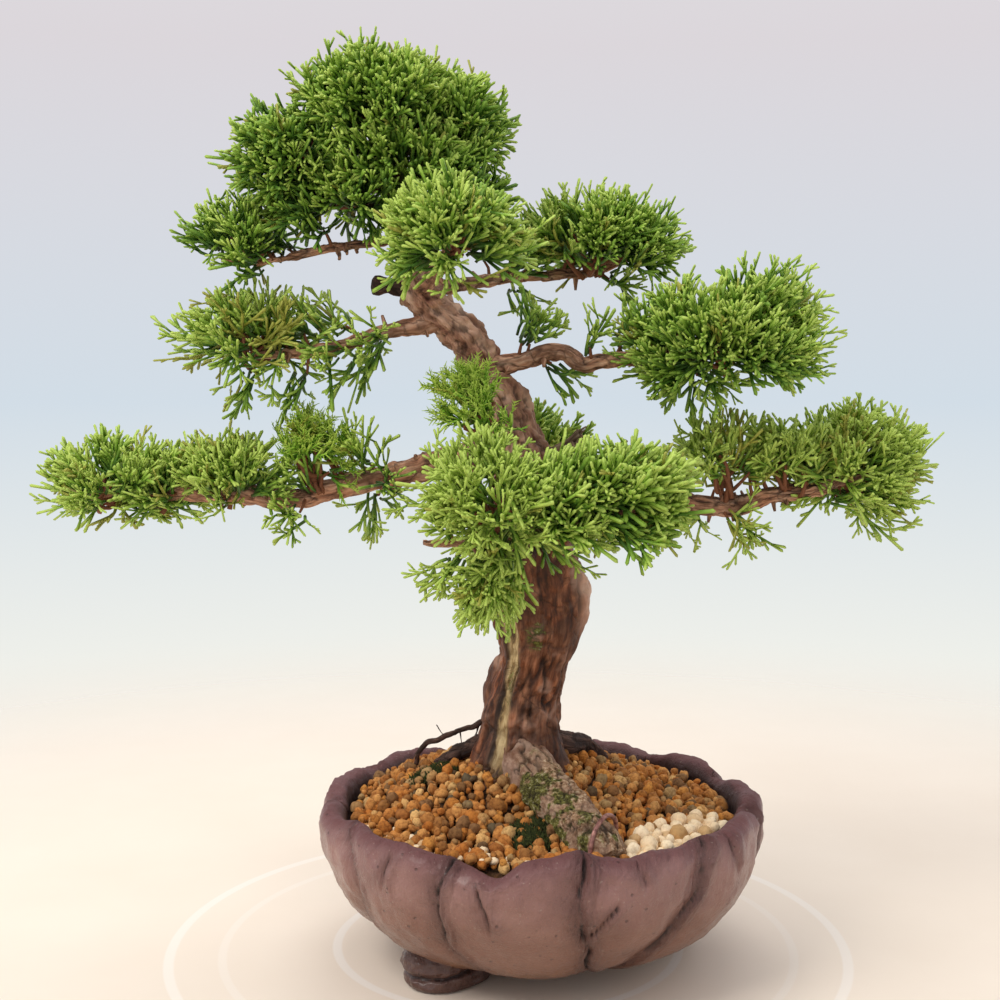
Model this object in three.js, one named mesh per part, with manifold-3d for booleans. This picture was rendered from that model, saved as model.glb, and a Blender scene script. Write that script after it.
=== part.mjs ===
// Shimpaku juniper bonsai in a hand-moulded clay pot.
// Millimetres, +Z up. The origin is the middle of the whole object's footprint, on the surface it stands on.

import * as THREE from 'three';
import { mergeVertices } from 'three/addons/utils/BufferGeometryUtils.js';
import Module from 'manifold-3d';

// ---------------------------------------------------------------- driving dimensions

const GAP = 0.3;

const POT_RADIUS = 87.5;
const POT_BASE_RADIUS = 46;
const RIM_HEIGHT = 63;
const BELLY_HEIGHT = 47;
const POT_WALL = 7.5;
const POT_FLOOR = 8;
const RIM_WIDTH = 9;
const RIM_WAVE = 1.6;
const FOLD_ANGLES = [217, 243, 279, 311, 348, 20, 52, 85, 118, 150, 184];
const FOLD_DEPTH = 2.6;
const FOLD_WIDTH = 5;
const FOOT_HEIGHT = 8;
const FOOT_RADIUS = 16;
const FOOT_OUTSET = 1;
const FOOT_ANGLES = [220, 10, 118];
const DRAIN_RADIUS = 9;

const MESH_SIZE = 30;
const MESH_HOLES = 4;
const MESH_BAR = 1.6;
const MESH_THICK = 1.2;
const CLIP_WIRE = 1.2;
const CLIP_SPAN = 9.6;
const CLIP_LEG = 13;

const SOIL_DROP = 9;
const SOIL_MOUND = 21;
const MOUND_RADIUS = 62;
const PUMICE_DEPTH = 5;
const PUMICE_ANGLE = -40;
const PUMICE_INSET = 7.5;
const PUMICE_LENGTH = 58;
const PUMICE_WIDTH = 26;
const MOSS_THICK = 4;

const TRUNK_FOOT = [-8, 8];
const TRUNK_HEIGHT = 231;
const TRUNK_SINK = 14;
const TRUNK_DIAMETER = 32;
const BURL_RADIUS = 13;

const PAD_SCALE = 1;
const TIE_WIRE = 1.6;

// ---------------------------------------------------------------- routes and pads

// Trunk centreline: [x, y, share of the height, share of the base diameter].
const TRUNK_ROUTE = [
  [0, 0, 0.0, 1.3],
  [0, 0, 0.06, 1.05],
  [1, 0, 0.13, 0.97],
  [5, -1, 0.19, 0.97],
  [7, -2, 0.255, 1.06],
  [5, -3, 0.35, 1.1],
  [5, -3, 0.43, 0.98],
  [3, -2, 0.5, 0.82],
  [-1, 0, 0.55, 0.62],
  [-5, 1, 0.61, 0.48],
  [-12, 2, 0.67, 0.44],
  [-22, 1, 0.74, 0.44],
  [-38, 0, 0.8, 0.41],
  [-42, 0, 0.83, 0.38],
  [-41, 2, 0.885, 0.32],
  [-45, 2, 0.945, 0.3],
  [-51, 0, 1.0, 0.22],
  [-53, -4, 1.07, 0.16],
  [-53, -7, 1.13, 0.12],
];
const CROWN_SHARE = 1.13;

// A branch leaves the trunk at a share of its height and passes through points measured from there.
const BRANCHES = [
  { name: 'left_low', at: 0.502, thick: [11, 4], way:
    [[-18, -2, 8], [-34, -4, 5], [-50, -6, 1], [-69, -9, -3], [-88, -11, -8], [-111, -11, -6],
      [-135, -9, -7], [-159, -6, -6], [-170, -6, -7]] },
  { name: 'right_low', at: 0.463, thick: [10, 4], way:
    [[31, 0, -1], [53, -1, 0], [66, -1, -2], [80, -1, -3], [94, 0, 1], [114, 2, 4], [134, 4, 9],
      [142, 6, 12]] },
  { name: 'left_mid', at: 0.77, thick: [7, 2.4], way:
    [[-10, -4, -3], [-21, -7, -5], [-31, -9, -8], [-41, -11, -11], [-56, -12, -14], [-71, -11, -14],
      [-80, -9, -15]] },
  { name: 'right_mid', at: 0.688, thick: [7, 3], way:
    [[13, -5, 2], [24, -8, 5], [32, -10, 5], [38, -12, 1], [45, -14, 2], [54, -15, 3], [70, -18, 4],
      [86, -20, 6], [108, -20, 8]] },
  { name: 'left_upper', at: 0.905, thick: [4, 2], way:
    [[-10, -5, -2], [-17, -6, -3], [-36, -8, -6], [-53, -10, -10], [-66, -10, -10], [-73, -10, -9]] },
  { name: 'right_upper', at: 0.823, thick: [6, 3], way:
    [[7, 6, -1], [22, 17, 2], [39, 27, 5], [54, 32, 6], [71, 34, 7], [84, 34, 12], [92, 34, 14]] },
  { name: 'front_upper', at: 0.812, thick: [5, 3], way:
    [[6, -18, 4], [10, -36, 9], [14, -50, 12], [15, -58, 15]] },
  { name: 'front_low_right', at: 0.466, thick: [7, 3], way:
    [[2, -26, -4], [4, -46, -4], [11, -61, -3], [25, -68, 0], [39, -68, 3]] },
  { name: 'front_low_left', at: 0.41, thick: [6, 3], way:
    [[-7, -31, 4], [-16, -50, 4], [-28, -58, 2], [-40, -61, 2]] },
  { name: 'back_low', at: 0.508, thick: [7, 3], way:
    [[-3, 22, 1], [-3, 42, -1], [-1, 60, -2], [5, 74, 0]] },
  { name: 'crown_left', at: 0.972, thick: [4, 2], way:
    [[-8, -7, 3], [-17, -12, 12], [-28, -14, 16], [-41, -14, 14]] },
  { name: 'crown_right', at: 0.968, thick: [4.4, 2.4], way:
    [[11, 1, 9], [21, 1, 18], [28, -1, 29], [32, -3, 37]] },
  { name: 'sprig', at: 0.56, thick: [3, 1.6], way:
    [[-10, -26, 7], [-15, -32, 13], [-21, -35, 21]] },
];

// Dead stubs are short branches that carry no leaves.
const STUBS = [
  { name: 'stub_cut', at: 0.815, thick: [7, 5.4], way: [[-11, -3, 2], [-17, -4, 3]] },
  { name: 'stub_pale', at: 0.53, thick: [5.6, 3.6], way: [[15, -8, 5], [22, -12, 11]] },
  { name: 'stub_dark', at: 0.45, thick: [4, 2], way: [[22, -20, 10], [30, -26, 20], [34, -28, 28]] },
];

// A pad sits on a branch, by the number of a point on its way (0 is the first), and is moved from there.
// 'leader' is the top of the trunk.
const PADS = [
  { name: 'crown_top', on: 'leader', move: [2, -1, 1], half: [36, 32, 23.5] },
  { name: 'crown_left', on: 'crown_left', point: 3, move: [1, -2, -3], half: [28.4, 24, 17] },
  { name: 'crown_right', on: 'crown_right', point: 2, move: [1, 2, 1], half: [19.4, 22, 23.2] },
  { name: 'left_upper', on: 'left_upper', point: 5, move: [8, 0, 4], half: [18.4, 16, 13.8] },
  { name: 'front_upper', on: 'front_upper', point: 2, move: [0, -3, 3], half: [26.5, 22, 20.5] },
  { name: 'right_upper', on: 'right_upper', point: 4, move: [4, -5, 10], half: [34.5, 28, 24.4] },
  { name: 'right_mid', on: 'right_mid', point: 7, move: [5, 0, 2], half: [41.7, 32, 26.5] },
  { name: 'left_mid', on: 'left_mid', point: 5, move: [-2, 2, 4], half: [30.8, 24, 21.2] },
  { name: 'left_low_tip', on: 'left_low', point: 8, move: [7, 0, 1], half: [30, 24, 19.4] },
  { name: 'left_low_inner', on: 'left_low', point: 5, move: [-2, 0, 3], half: [26.9, 24, 18.5] },
  { name: 'left_low_top', on: 'left_low', point: 4, move: [5, -5, 17], half: [21, 18, 17.1] },
  { name: 'right_low_inner', on: 'right_low', point: 3, move: [-4, 0, 16], half: [23.5, 22, 17.6] },
  { name: 'right_low_outer', on: 'right_low', point: 6, move: [-4, 0, 2], half: [29.6, 26, 25.7] },
  { name: 'front_low_left', on: 'front_low_left', point: 2, move: [11, -3, 14], half: [28.2, 24, 22.9],
    hang: { move: [10, 2, -32], half: [13, 10, 15] } },
  { name: 'front_low_right', on: 'front_low_right', point: 3, move: [-1, 4, 6], half: [31, 22, 17.6] },
  { name: 'sprig', on: 'sprig', point: 1, move: [0, 0, 3], half: [16.6, 12, 15.5] },
  { name: 'back_low', on: 'back_low', point: 3, move: [-4, 2, 5], half: [32, 23, 17] },
];

// Roots start inside the trunk. Their points are measured from the trunk's foot at soil level.
const ROOTS = [
  { name: 'root_front', thick: [26, 12], way:
    [[0, 0, 4], [2, -17, 3], [9, -33, -1], [18, -52, -7], [26, -67, -14], [29, -74, -21]] },
  { name: 'root_left', thick: [9, 5], way: [[-2, 0, 12], [-15, 2, 8], [-24, 4, 4], [-33, 8, -3]] },
  { name: 'root_right', thick: [11, 6], way: [[2, 2, 12], [17, 10, 6], [26, 20, 3], [35, 28, -5]] },
];
const AERIAL_ROOT = { name: 'aerial_root', thick: [2.6, 2], way:
  [[-5, 3, 22], [-17, 5, 15], [-25, 7, 12], [-34, 11, 7], [-40, 13, 4], [-43, 15, -4]] };
const TIE_WIRE_WAY = [[35, -58, -12], [35, -60, -5], [32, -62, -3], [30, -65, -4], [28, -69, -12]];
const MOSS = [
  { name: 'moss_front', place: [-1, -50], half: [8, 12] },
  { name: 'moss_left', place: [-33, 0], half: [11, 7] },
];

// ---------------------------------------------------------------- solids

const wasm = await Module();
wasm.setup();

function toSolid(geometry) {
  const bare = geometry.clone();
  bare.deleteAttribute('normal');
  bare.deleteAttribute('uv');
  const merged = mergeVertices(bare);
  const corners = merged.index.array;
  const triangles = [];
  for (let i = 0; i < corners.length; i += 3) {
    const [a, b, c] = [corners[i], corners[i + 1], corners[i + 2]];
    if (a !== b && b !== c && c !== a) triangles.push(a, b, c);
  }
  return new wasm.Manifold(new wasm.Mesh({
    numProp: 3,
    vertProperties: new Float32Array(merged.attributes.position.array),
    triVerts: new Uint32Array(triangles),
  }));
}

function largestBody(solid) {
  const bodies = solid.decompose();
  bodies.sort((a, b) => b.volume() - a.volume());
  return bodies[0];
}

function toGeometry(solid) {
  const mesh = largestBody(solid).getMesh();
  const geometry = new THREE.BufferGeometry();
  geometry.setAttribute('position', new THREE.BufferAttribute(new Float32Array(mesh.vertProperties), 3));
  geometry.setIndex(new THREE.BufferAttribute(new Uint32Array(mesh.triVerts), 1));
  geometry.computeVertexNormals();
  return geometry;
}

const vector = (point) => new THREE.Vector3(...point);

// A tapered round limb along a smooth route: the rings of a cylinder, bent along the curve.
function limb(points, diameters, sides, steps, grow = 0) {
  const curve = new THREE.CatmullRomCurve3(points.map(vector), false, 'centripetal');
  const frames = curve.computeFrenetFrames(steps);
  const geometry = new THREE.CylinderGeometry(1, 1, 1, sides, steps);
  const position = geometry.attributes.position;
  for (let i = 0; i < position.count; i += 1) {
    const share = position.getY(i) + 0.5;
    const ring = Math.round(share * steps);
    const along = curve.getUtoTmapping(share) * (diameters.length - 1);
    const low = Math.min(Math.floor(along), diameters.length - 2);
    const diameter = THREE.MathUtils.lerp(diameters[low], diameters[low + 1], along - low);
    const radius = diameter / 2 + grow;
    const end = ring === steps ? grow : ring === 0 ? -grow : 0;
    const point = curve.getPointAt(share)
      .addScaledVector(frames.normals[ring], position.getX(i) * radius)
      .addScaledVector(frames.binormals[ring], -position.getZ(i) * radius)
      .addScaledVector(frames.tangents[ring], end);
    position.setXYZ(i, point.x, point.y, point.z);
  }
  return toSolid(geometry);
}

function taper([start, end], count) {
  return Array.from({ length: count }, (_, i) => THREE.MathUtils.lerp(start, end, i / (count - 1)));
}

// A round lump of foliage with shallow lobes, wider than it is tall.
function lump(centre, half, grow) {
  const geometry = new THREE.IcosahedronGeometry(1, 2);
  const position = geometry.attributes.position;
  for (let i = 0; i < position.count; i += 1) {
    const [x, y, z] = [position.getX(i), position.getY(i), position.getZ(i)];
    const lobes = 1.01 + 0.05 * Math.sin(4 * x + half[0]) * Math.cos(4 * y + half[1]);
    position.setXYZ(
      i,
      centre[0] + x * (half[0] * lobes + grow),
      centre[1] + y * (half[1] * lobes + grow),
      centre[2] + z * (half[2] * lobes + grow),
    );
  }
  return toSolid(geometry);
}

// A pad is one lump, and may have a smaller one that hangs from it.
function pad(spec, centre, grow = 0) {
  const half = spec.half.map((value) => value * PAD_SCALE);
  const body = lump(centre, half, grow);
  if (!spec.hang) return body;
  const low = centre.map((value, i) => value + spec.hang.move[i] * PAD_SCALE);
  return body.add(lump(low, spec.hang.half.map((value) => value * PAD_SCALE), grow));
}

// ---------------------------------------------------------------- pot

const SOIL_LEVEL = RIM_HEIGHT - SOIL_DROP;
const POT_SIDES = 60;

function pinch(angle) {
  return FOLD_ANGLES.reduce((sum, fold) => {
    const turn = THREE.MathUtils.euclideanModulo(angle - fold + 180, 360) - 180;
    return sum + Math.exp(-((turn / FOLD_WIDTH) ** 2));
  }, 0);
}

// Turns a lathed shape into the moulded one: pinched at each fold, with a wavy rim.
function mould(geometry) {
  const position = geometry.attributes.position;
  for (let i = 0; i < position.count; i += 1) {
    const [x, y, z] = [position.getX(i), position.getY(i), position.getZ(i)];
    const radius = Math.hypot(x, y);
    const angle = THREE.MathUtils.radToDeg(Math.atan2(y, x));
    const rise = THREE.MathUtils.smoothstep(z, POT_FLOOR + FOOT_HEIGHT, RIM_HEIGHT);
    const outside = THREE.MathUtils.smoothstep(radius, DRAIN_RADIUS * 2, POT_BASE_RADIUS);
    const pressed = radius - FOLD_DEPTH * pinch(angle) * outside * (0.35 + 0.65 * rise);
    const scale = radius > 0 ? pressed / radius : 1;
    const wave = RIM_WAVE * rise * (Math.cos(3 * (angle - 35) * Math.PI / 180) - pinch(angle));
    position.setXYZ(i, x * scale, y * scale, z + wave);
  }
  return geometry;
}

function lathe(profile) {
  const points = profile.map(([radius, height]) => new THREE.Vector2(radius, height));
  const geometry = new THREE.LatheGeometry(points, POT_SIDES);
  return geometry.rotateX(Math.PI / 2);
}

// Outer wall from the base up to the rim, then the inner wall back down to the floor.
const outerWall = [
  [POT_BASE_RADIUS, FOOT_HEIGHT],
  [POT_BASE_RADIUS + 11, FOOT_HEIGHT + 3],
  [POT_BASE_RADIUS + 22, FOOT_HEIGHT + 9],
  [POT_RADIUS - 9, FOOT_HEIGHT + 19],
  [POT_RADIUS - 3, BELLY_HEIGHT - 10],
  [POT_RADIUS, BELLY_HEIGHT],
  [POT_RADIUS - 1, RIM_HEIGHT - 6],
  [POT_RADIUS - 4, RIM_HEIGHT - 1.5],
  [POT_RADIUS - 7, RIM_HEIGHT],
];
const POT_MOUTH = POT_RADIUS - 3 - RIM_WIDTH;
const FLOOR_TOP = FOOT_HEIGHT + POT_FLOOR;
const innerWall = [
  [POT_MOUTH, RIM_HEIGHT - 5],
  [POT_RADIUS - POT_WALL - 3, BELLY_HEIGHT],
  [POT_RADIUS - POT_WALL - 10, BELLY_HEIGHT - 14],
  [POT_BASE_RADIUS + 18, FLOOR_TOP + 6],
  [POT_BASE_RADIUS, FLOOR_TOP],
];

// The moulded bowl. A grown one has a thicker wall inside, to cut what comes near it.
function bowl(grow = 0) {
  return toSolid(mould(lathe([
    [0, FOOT_HEIGHT],
    [DRAIN_RADIUS * 2, FOOT_HEIGHT],
    ...outerWall,
    [POT_MOUTH + 2, RIM_HEIGHT - 1 + grow],
    ...innerWall.map(([radius, height]) => [radius - grow, height + grow]),
    [DRAIN_RADIUS * 2, FLOOR_TOP + grow],
    [0, FLOOR_TOP + grow],
  ])));
}

function potSolid() {
  let pot = bowl();
  const footProfile = [
    [0, 0],
    [FOOT_RADIUS - 3, 0],
    [FOOT_RADIUS, FOOT_HEIGHT * 0.35],
    [FOOT_RADIUS - 2, FOOT_HEIGHT * 0.8],
    [FOOT_RADIUS - 4, FOOT_HEIGHT + 3],
    [0, FOOT_HEIGHT + 3],
  ].map(([radius, height]) => new THREE.Vector2(radius, height));
  for (const angle of FOOT_ANGLES) {
    const foot = new THREE.LatheGeometry(footProfile, 20).rotateX(Math.PI / 2);
    const turn = THREE.MathUtils.degToRad(angle);
    const away = POT_BASE_RADIUS + FOOT_OUTSET;
    foot.translate(away * Math.cos(turn), away * Math.sin(turn), 0);
    pot = pot.add(toSolid(foot));
  }
  const drain = new THREE.CylinderGeometry(DRAIN_RADIUS, DRAIN_RADIUS, FLOOR_TOP * 3, 24);
  return pot.subtract(toSolid(drain.rotateX(Math.PI / 2)));
}

// ---------------------------------------------------------------- drain mesh and its clip

const MESH_TOP = FLOOR_TOP + GAP + MESH_THICK;

function drainMesh() {
  let plate = toSolid(new THREE.BoxGeometry(MESH_SIZE, MESH_SIZE, MESH_THICK));
  const pitch = (MESH_SIZE - MESH_BAR) / MESH_HOLES;
  const opening = toSolid(new THREE.BoxGeometry(pitch - MESH_BAR, pitch - MESH_BAR, MESH_THICK * 3));
  const first = -(MESH_HOLES - 1) / 2;
  for (let row = 0; row < MESH_HOLES; row += 1) {
    for (let column = 0; column < MESH_HOLES; column += 1) {
      plate = plate.subtract(opening.translate((first + column) * pitch, (first + row) * pitch, 0));
    }
  }
  return plate.translate(0, 0, MESH_TOP - MESH_THICK / 2);
}

// The wire staple goes down through two openings of the mesh and is bent out under the pot.
function drainClip(grow = 0) {
  const pitch = (MESH_SIZE - MESH_BAR) / MESH_HOLES;
  const leg = Math.min(CLIP_SPAN / 2, DRAIN_RADIUS - CLIP_WIRE - GAP);
  const top = MESH_TOP + GAP + CLIP_WIRE / 2;
  const under = FOOT_HEIGHT - GAP - CLIP_WIRE / 2;
  const row = pitch / 2;
  const side = (sign) => [
    [sign * (leg + CLIP_LEG), row, under],
    [sign * (leg + 2), row, under],
    [sign * leg, row, under + 2],
    [sign * leg, row, top - 2],
    [sign * (leg - 1.4), row, top],
  ];
  const way = [...side(-1), ...side(1).reverse()];
  return limb(way, taper([CLIP_WIRE, CLIP_WIRE], way.length), 6, 32, grow);
}

// ---------------------------------------------------------------- tree

const trunkPoint = ([x, y, share]) => [
  TRUNK_FOOT[0] + x,
  TRUNK_FOOT[1] + y,
  SOIL_LEVEL + SOIL_MOUND - 3 + share * TRUNK_HEIGHT,
];
const trunkWay = [[TRUNK_FOOT[0], TRUNK_FOOT[1], SOIL_LEVEL + SOIL_MOUND - 3 - TRUNK_SINK],
  ...TRUNK_ROUTE.map(trunkPoint)];
const trunkDiameters = [TRUNK_DIAMETER * 1.45,
  ...TRUNK_ROUTE.map((point) => TRUNK_DIAMETER * point[3])];
const trunkCurve = new THREE.CatmullRomCurve3(trunkWay.map(vector), false, 'centripetal');

function trunkSolid(grow = 0) {
  const wood = limb(trunkWay, trunkDiameters, 14, 30, grow);
  const burl = new THREE.IcosahedronGeometry(BURL_RADIUS + grow, 2);
  burl.scale(0.75, 0.85, 1.25);
  const [x, y, z] = trunkPoint([15, -4, 0.3]);
  return wood.add(toSolid(burl.translate(x, y, z)));
}

// The point of the trunk's centreline at a share of its height.
function onTrunk(share) {
  const height = trunkPoint([0, 0, share])[2];
  let [low, high] = [0, 1];
  for (let i = 0; i < 30; i += 1) {
    const middle = (low + high) / 2;
    if (trunkCurve.getPoint(middle).z < height) low = middle;
    else high = middle;
  }
  return trunkCurve.getPoint(low);
}

function routeFrom(start, way) {
  return [start.toArray(), ...way.map((step) => start.clone().add(vector(step)).toArray())];
}

const trunkFoot = new THREE.Vector3(TRUNK_FOOT[0], TRUNK_FOOT[1], SOIL_LEVEL + SOIL_MOUND - 3);

function woodPart(spec, route, sides) {
  const steps = Math.max(5, 2 * (route.length - 1));
  const diameters = taper(spec.thick, route.length);
  return {
    name: spec.name,
    route,
    body: limb(route, diameters, sides, steps),
    grown: limb(route, diameters, sides, steps, GAP),
  };
}

const LIMB_SIDES = 7;
const trunk = { name: 'trunk', body: trunkSolid(), grown: trunkSolid(GAP) };
const branches = BRANCHES.map((spec) => woodPart(spec, routeFrom(onTrunk(spec.at), spec.way), LIMB_SIDES));
const stubs = STUBS.map((spec) => woodPart(spec, routeFrom(onTrunk(spec.at), spec.way), LIMB_SIDES));
const roots = ROOTS.map((spec) => woodPart(
  spec,
  spec.way.map((step) => trunkFoot.clone().add(vector(step)).toArray()),
  10,
));
const aerialRoot = woodPart(
  AERIAL_ROOT,
  AERIAL_ROOT.way.map((step) => trunkFoot.clone().add(vector(step)).toArray()),
  6,
);
const tieWire = woodPart(
  { name: 'tie_wire', thick: [TIE_WIRE, TIE_WIRE] },
  TIE_WIRE_WAY.map((step) => trunkFoot.clone().add(vector(step)).toArray()),
  6,
);

// Each limb is cut by the bowl, the trunk and the limbs made before it, so that nothing shares space.
const grownBowl = bowl(GAP);
const wood = [trunk];
for (const part of [...branches, ...stubs, ...roots, aerialRoot, tieWire]) {
  part.body = part.body.subtract(grownBowl);
  for (const other of wood) part.body = part.body.subtract(other.grown);
  wood.push(part);
}

const pads = [];
for (const spec of PADS) {
  const branch = branches.find((part) => part.name === spec.on);
  const base = spec.on === 'leader' ? trunkPoint([-53, -7, CROWN_SHARE]) : branch.route[spec.point + 1];
  const centre = base.map((value, i) => value + spec.move[i]);
  const part = { name: spec.name, body: pad(spec, centre), grown: pad(spec, centre, GAP) };
  for (const other of [...wood, ...pads]) part.body = part.body.subtract(other.grown);
  pads.push(part);
}

// ---------------------------------------------------------------- soil

// The bed follows the inner wall with a clearance, and rises in a mound towards the trunk.
function soilBlock() {
  const clear = GAP + 0.3;
  const wall = innerWall.map(([radius, height]) => [radius - clear, height + clear]);
  const bottom = MESH_TOP + CLIP_WIRE + 2 * GAP;
  const edge = wall[0][0] - 1;
  const rings = [0.9, 0.68, 0.46, 0.24].map((share) => [edge * share, SOIL_LEVEL]);
  const block = lathe([
    [0, bottom],
    [MESH_SIZE * 0.8, bottom],
    [MESH_SIZE * 0.8 + 2, FLOOR_TOP + clear],
    ...wall.slice(1).reverse(),
    [edge, SOIL_LEVEL],
    ...rings,
    [0, SOIL_LEVEL],
  ]);
  mould(block);
  const position = block.attributes.position;
  for (let i = 0; i < position.count; i += 1) {
    const [x, y, z] = [position.getX(i), position.getY(i), position.getZ(i)];
    if (z > SOIL_LEVEL - 4) {
      const away = Math.hypot(x - TRUNK_FOOT[0], y - TRUNK_FOOT[1] - 6) / MOUND_RADIUS;
      const mound = SOIL_MOUND * (1 - THREE.MathUtils.smoothstep(away, 0, 1.25));
      const level = THREE.MathUtils.lerp(z, SOIL_LEVEL, 0.5);
      position.setZ(i, level + mound);
    }
  }
  return toSolid(block);
}

function pumiceColumn(grow) {
  const column = new THREE.CylinderGeometry(1, 1, RIM_HEIGHT, 20);
  column.rotateX(Math.PI / 2);
  column.scale(PUMICE_LENGTH / 2 + grow, PUMICE_WIDTH / 2 + grow, 1);
  column.rotateZ(Math.PI / 2);
  column.translate(POT_MOUTH - PUMICE_INSET, 0, RIM_HEIGHT);
  return toSolid(column.rotateZ(THREE.MathUtils.degToRad(PUMICE_ANGLE)));
}

const soilAll = soilBlock();
const inSoil = [...[trunk, ...roots, aerialRoot, tieWire].map((part) => part.grown), drainClip(GAP)];
const above = (depth) => soilAll.subtract(soilAll.translate(0, 0, -depth));
let pumice = pumiceColumn(0).intersect(above(PUMICE_DEPTH));
let soil = soilAll
  .subtract(pumiceColumn(GAP).intersect(above(PUMICE_DEPTH + GAP)))
  .subtract(pumice)
  .subtract(pumice.translate(0, 0, -GAP));
for (const solid of inSoil) {
  pumice = pumice.subtract(solid);
  soil = soil.subtract(solid);
}

function mossSolid({ place, half }) {
  const x = TRUNK_FOOT[0] + place[0];
  const y = TRUNK_FOOT[1] + place[1];
  const cushion = new THREE.IcosahedronGeometry(1, 2);
  cushion.scale(half[0], half[1], MOSS_THICK * 1.6);
  const ground = largestBody(soilAll.intersect(toSolid(
    new THREE.CylinderGeometry(1, 1, RIM_HEIGHT * 3, 8).rotateX(Math.PI / 2).translate(x, y, 0),
  ))).boundingBox().max[2];
  let moss = toSolid(cushion.translate(x, y, ground - MOSS_THICK * 0.6));
  for (const solid of [soilAll.translate(0, 0, GAP), ...inSoil, pumiceColumn(GAP)]) {
    moss = moss.subtract(solid);
  }
  return moss;
}

// ---------------------------------------------------------------- the object

const FINISH = {
  clay: { color: 0x6b5058, roughness: 0.5 },
  akadama: { color: 0xa86a38, roughness: 0.95 },
  pumice: { color: 0xd8c8a8, roughness: 0.95 },
  bark: { color: 0x6f4a3a, roughness: 0.85 },
  deadwood: { color: 0xa08a6a, roughness: 0.9 },
  foliage: { color: 0x4f8a2a, roughness: 0.6 },
  moss: { color: 0x4a5a20, roughness: 1 },
  wire: { color: 0x8a5a4c, roughness: 0.4, metalness: 0.6 },
  net: { color: 0x1c1c1e, roughness: 0.6 },
};

const object = new THREE.Group();

function place(name, solid, finish) {
  const mesh = new THREE.Mesh(toGeometry(solid), new THREE.MeshStandardMaterial(FINISH[finish]));
  mesh.name = name;
  object.add(mesh);
}

place('pot', potSolid(), 'clay');
place('drain_mesh', drainMesh(), 'net');
place('drain_clip', drainClip(), 'wire');
place('soil_bed', soil, 'akadama');
place('pumice_patch', pumice, 'pumice');
for (const spec of MOSS) place(spec.name, mossSolid(spec), 'moss');
place('trunk', trunk.body, 'bark');
for (const part of branches) place(`branch_${part.name}`, part.body, 'bark');
for (const part of stubs) place(part.name, part.body, 'deadwood');
for (const part of [...roots, aerialRoot]) place(part.name, part.body, 'bark');
place('tie_wire', tieWire.body, 'wire');
for (const part of pads) place(`foliage_${part.name}`, part.body, 'foliage');

// The footprint's middle is the origin.
const extent = new THREE.Box3().setFromObject(object);
const middle = extent.getCenter(new THREE.Vector3());
object.position.set(-middle.x, -middle.y, -extent.min.z);

const group = new THREE.Group();
group.add(object);

export default group;
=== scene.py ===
import math

import bpy
import numpy as np
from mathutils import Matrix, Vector, noise


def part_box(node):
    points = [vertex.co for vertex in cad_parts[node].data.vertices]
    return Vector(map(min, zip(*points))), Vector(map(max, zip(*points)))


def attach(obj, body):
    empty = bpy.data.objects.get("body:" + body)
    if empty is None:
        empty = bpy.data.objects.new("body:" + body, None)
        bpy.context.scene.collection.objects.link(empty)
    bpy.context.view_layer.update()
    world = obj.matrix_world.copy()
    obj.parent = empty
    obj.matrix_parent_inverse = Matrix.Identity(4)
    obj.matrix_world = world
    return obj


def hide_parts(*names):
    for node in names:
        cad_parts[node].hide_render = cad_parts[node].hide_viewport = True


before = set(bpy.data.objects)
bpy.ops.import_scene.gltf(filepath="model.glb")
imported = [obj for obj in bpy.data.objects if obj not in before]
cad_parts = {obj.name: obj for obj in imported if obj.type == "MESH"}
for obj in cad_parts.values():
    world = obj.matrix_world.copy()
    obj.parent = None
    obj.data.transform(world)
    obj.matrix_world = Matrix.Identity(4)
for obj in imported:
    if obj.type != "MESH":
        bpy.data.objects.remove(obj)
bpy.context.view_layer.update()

# Places are in millimetres from the middle of the pot, on the surface it stands on. Meshes are in metres.
MM = 0.001
net_low, net_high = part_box("drain_mesh")
POT_MIDDLE = np.array([(net_low.x + net_high.x) / 2, (net_low.y + net_high.y) / 2, 0.0])


def in_mm(corner):
    return (np.array(corner) - POT_MIDDLE) / MM


# ------------------------------------------------------------------ numbers, curves and noise

def smoothstep(value, low, high):
    share = np.clip((value - low) / (high - low), 0.0, 1.0)
    return share * share * (3.0 - 2.0 * share)


def bell(value, width):
    """1 at zero, fading to either side over the width."""
    return np.exp(-(value / width) ** 2)


def circle(count):
    return np.linspace(0, 2 * math.pi, count, endpoint=False)


def unit(vectors):
    vectors = np.asarray(vectors, float)
    return vectors / np.maximum(np.linalg.norm(vectors, axis=-1, keepdims=True), 1e-9)


def field(points, size, seed=0, octaves=3):
    """Smooth noise of about -1 to 1 at each point, with features of the given size in millimetres."""
    flat = np.asarray(points, float).reshape(-1, 3) / size + 13.7 * seed
    values = [noise.fractal(Vector(p), 1.0, 2.0, octaves) for p in flat]
    return np.array(values).reshape(np.shape(points)[:-1])


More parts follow.
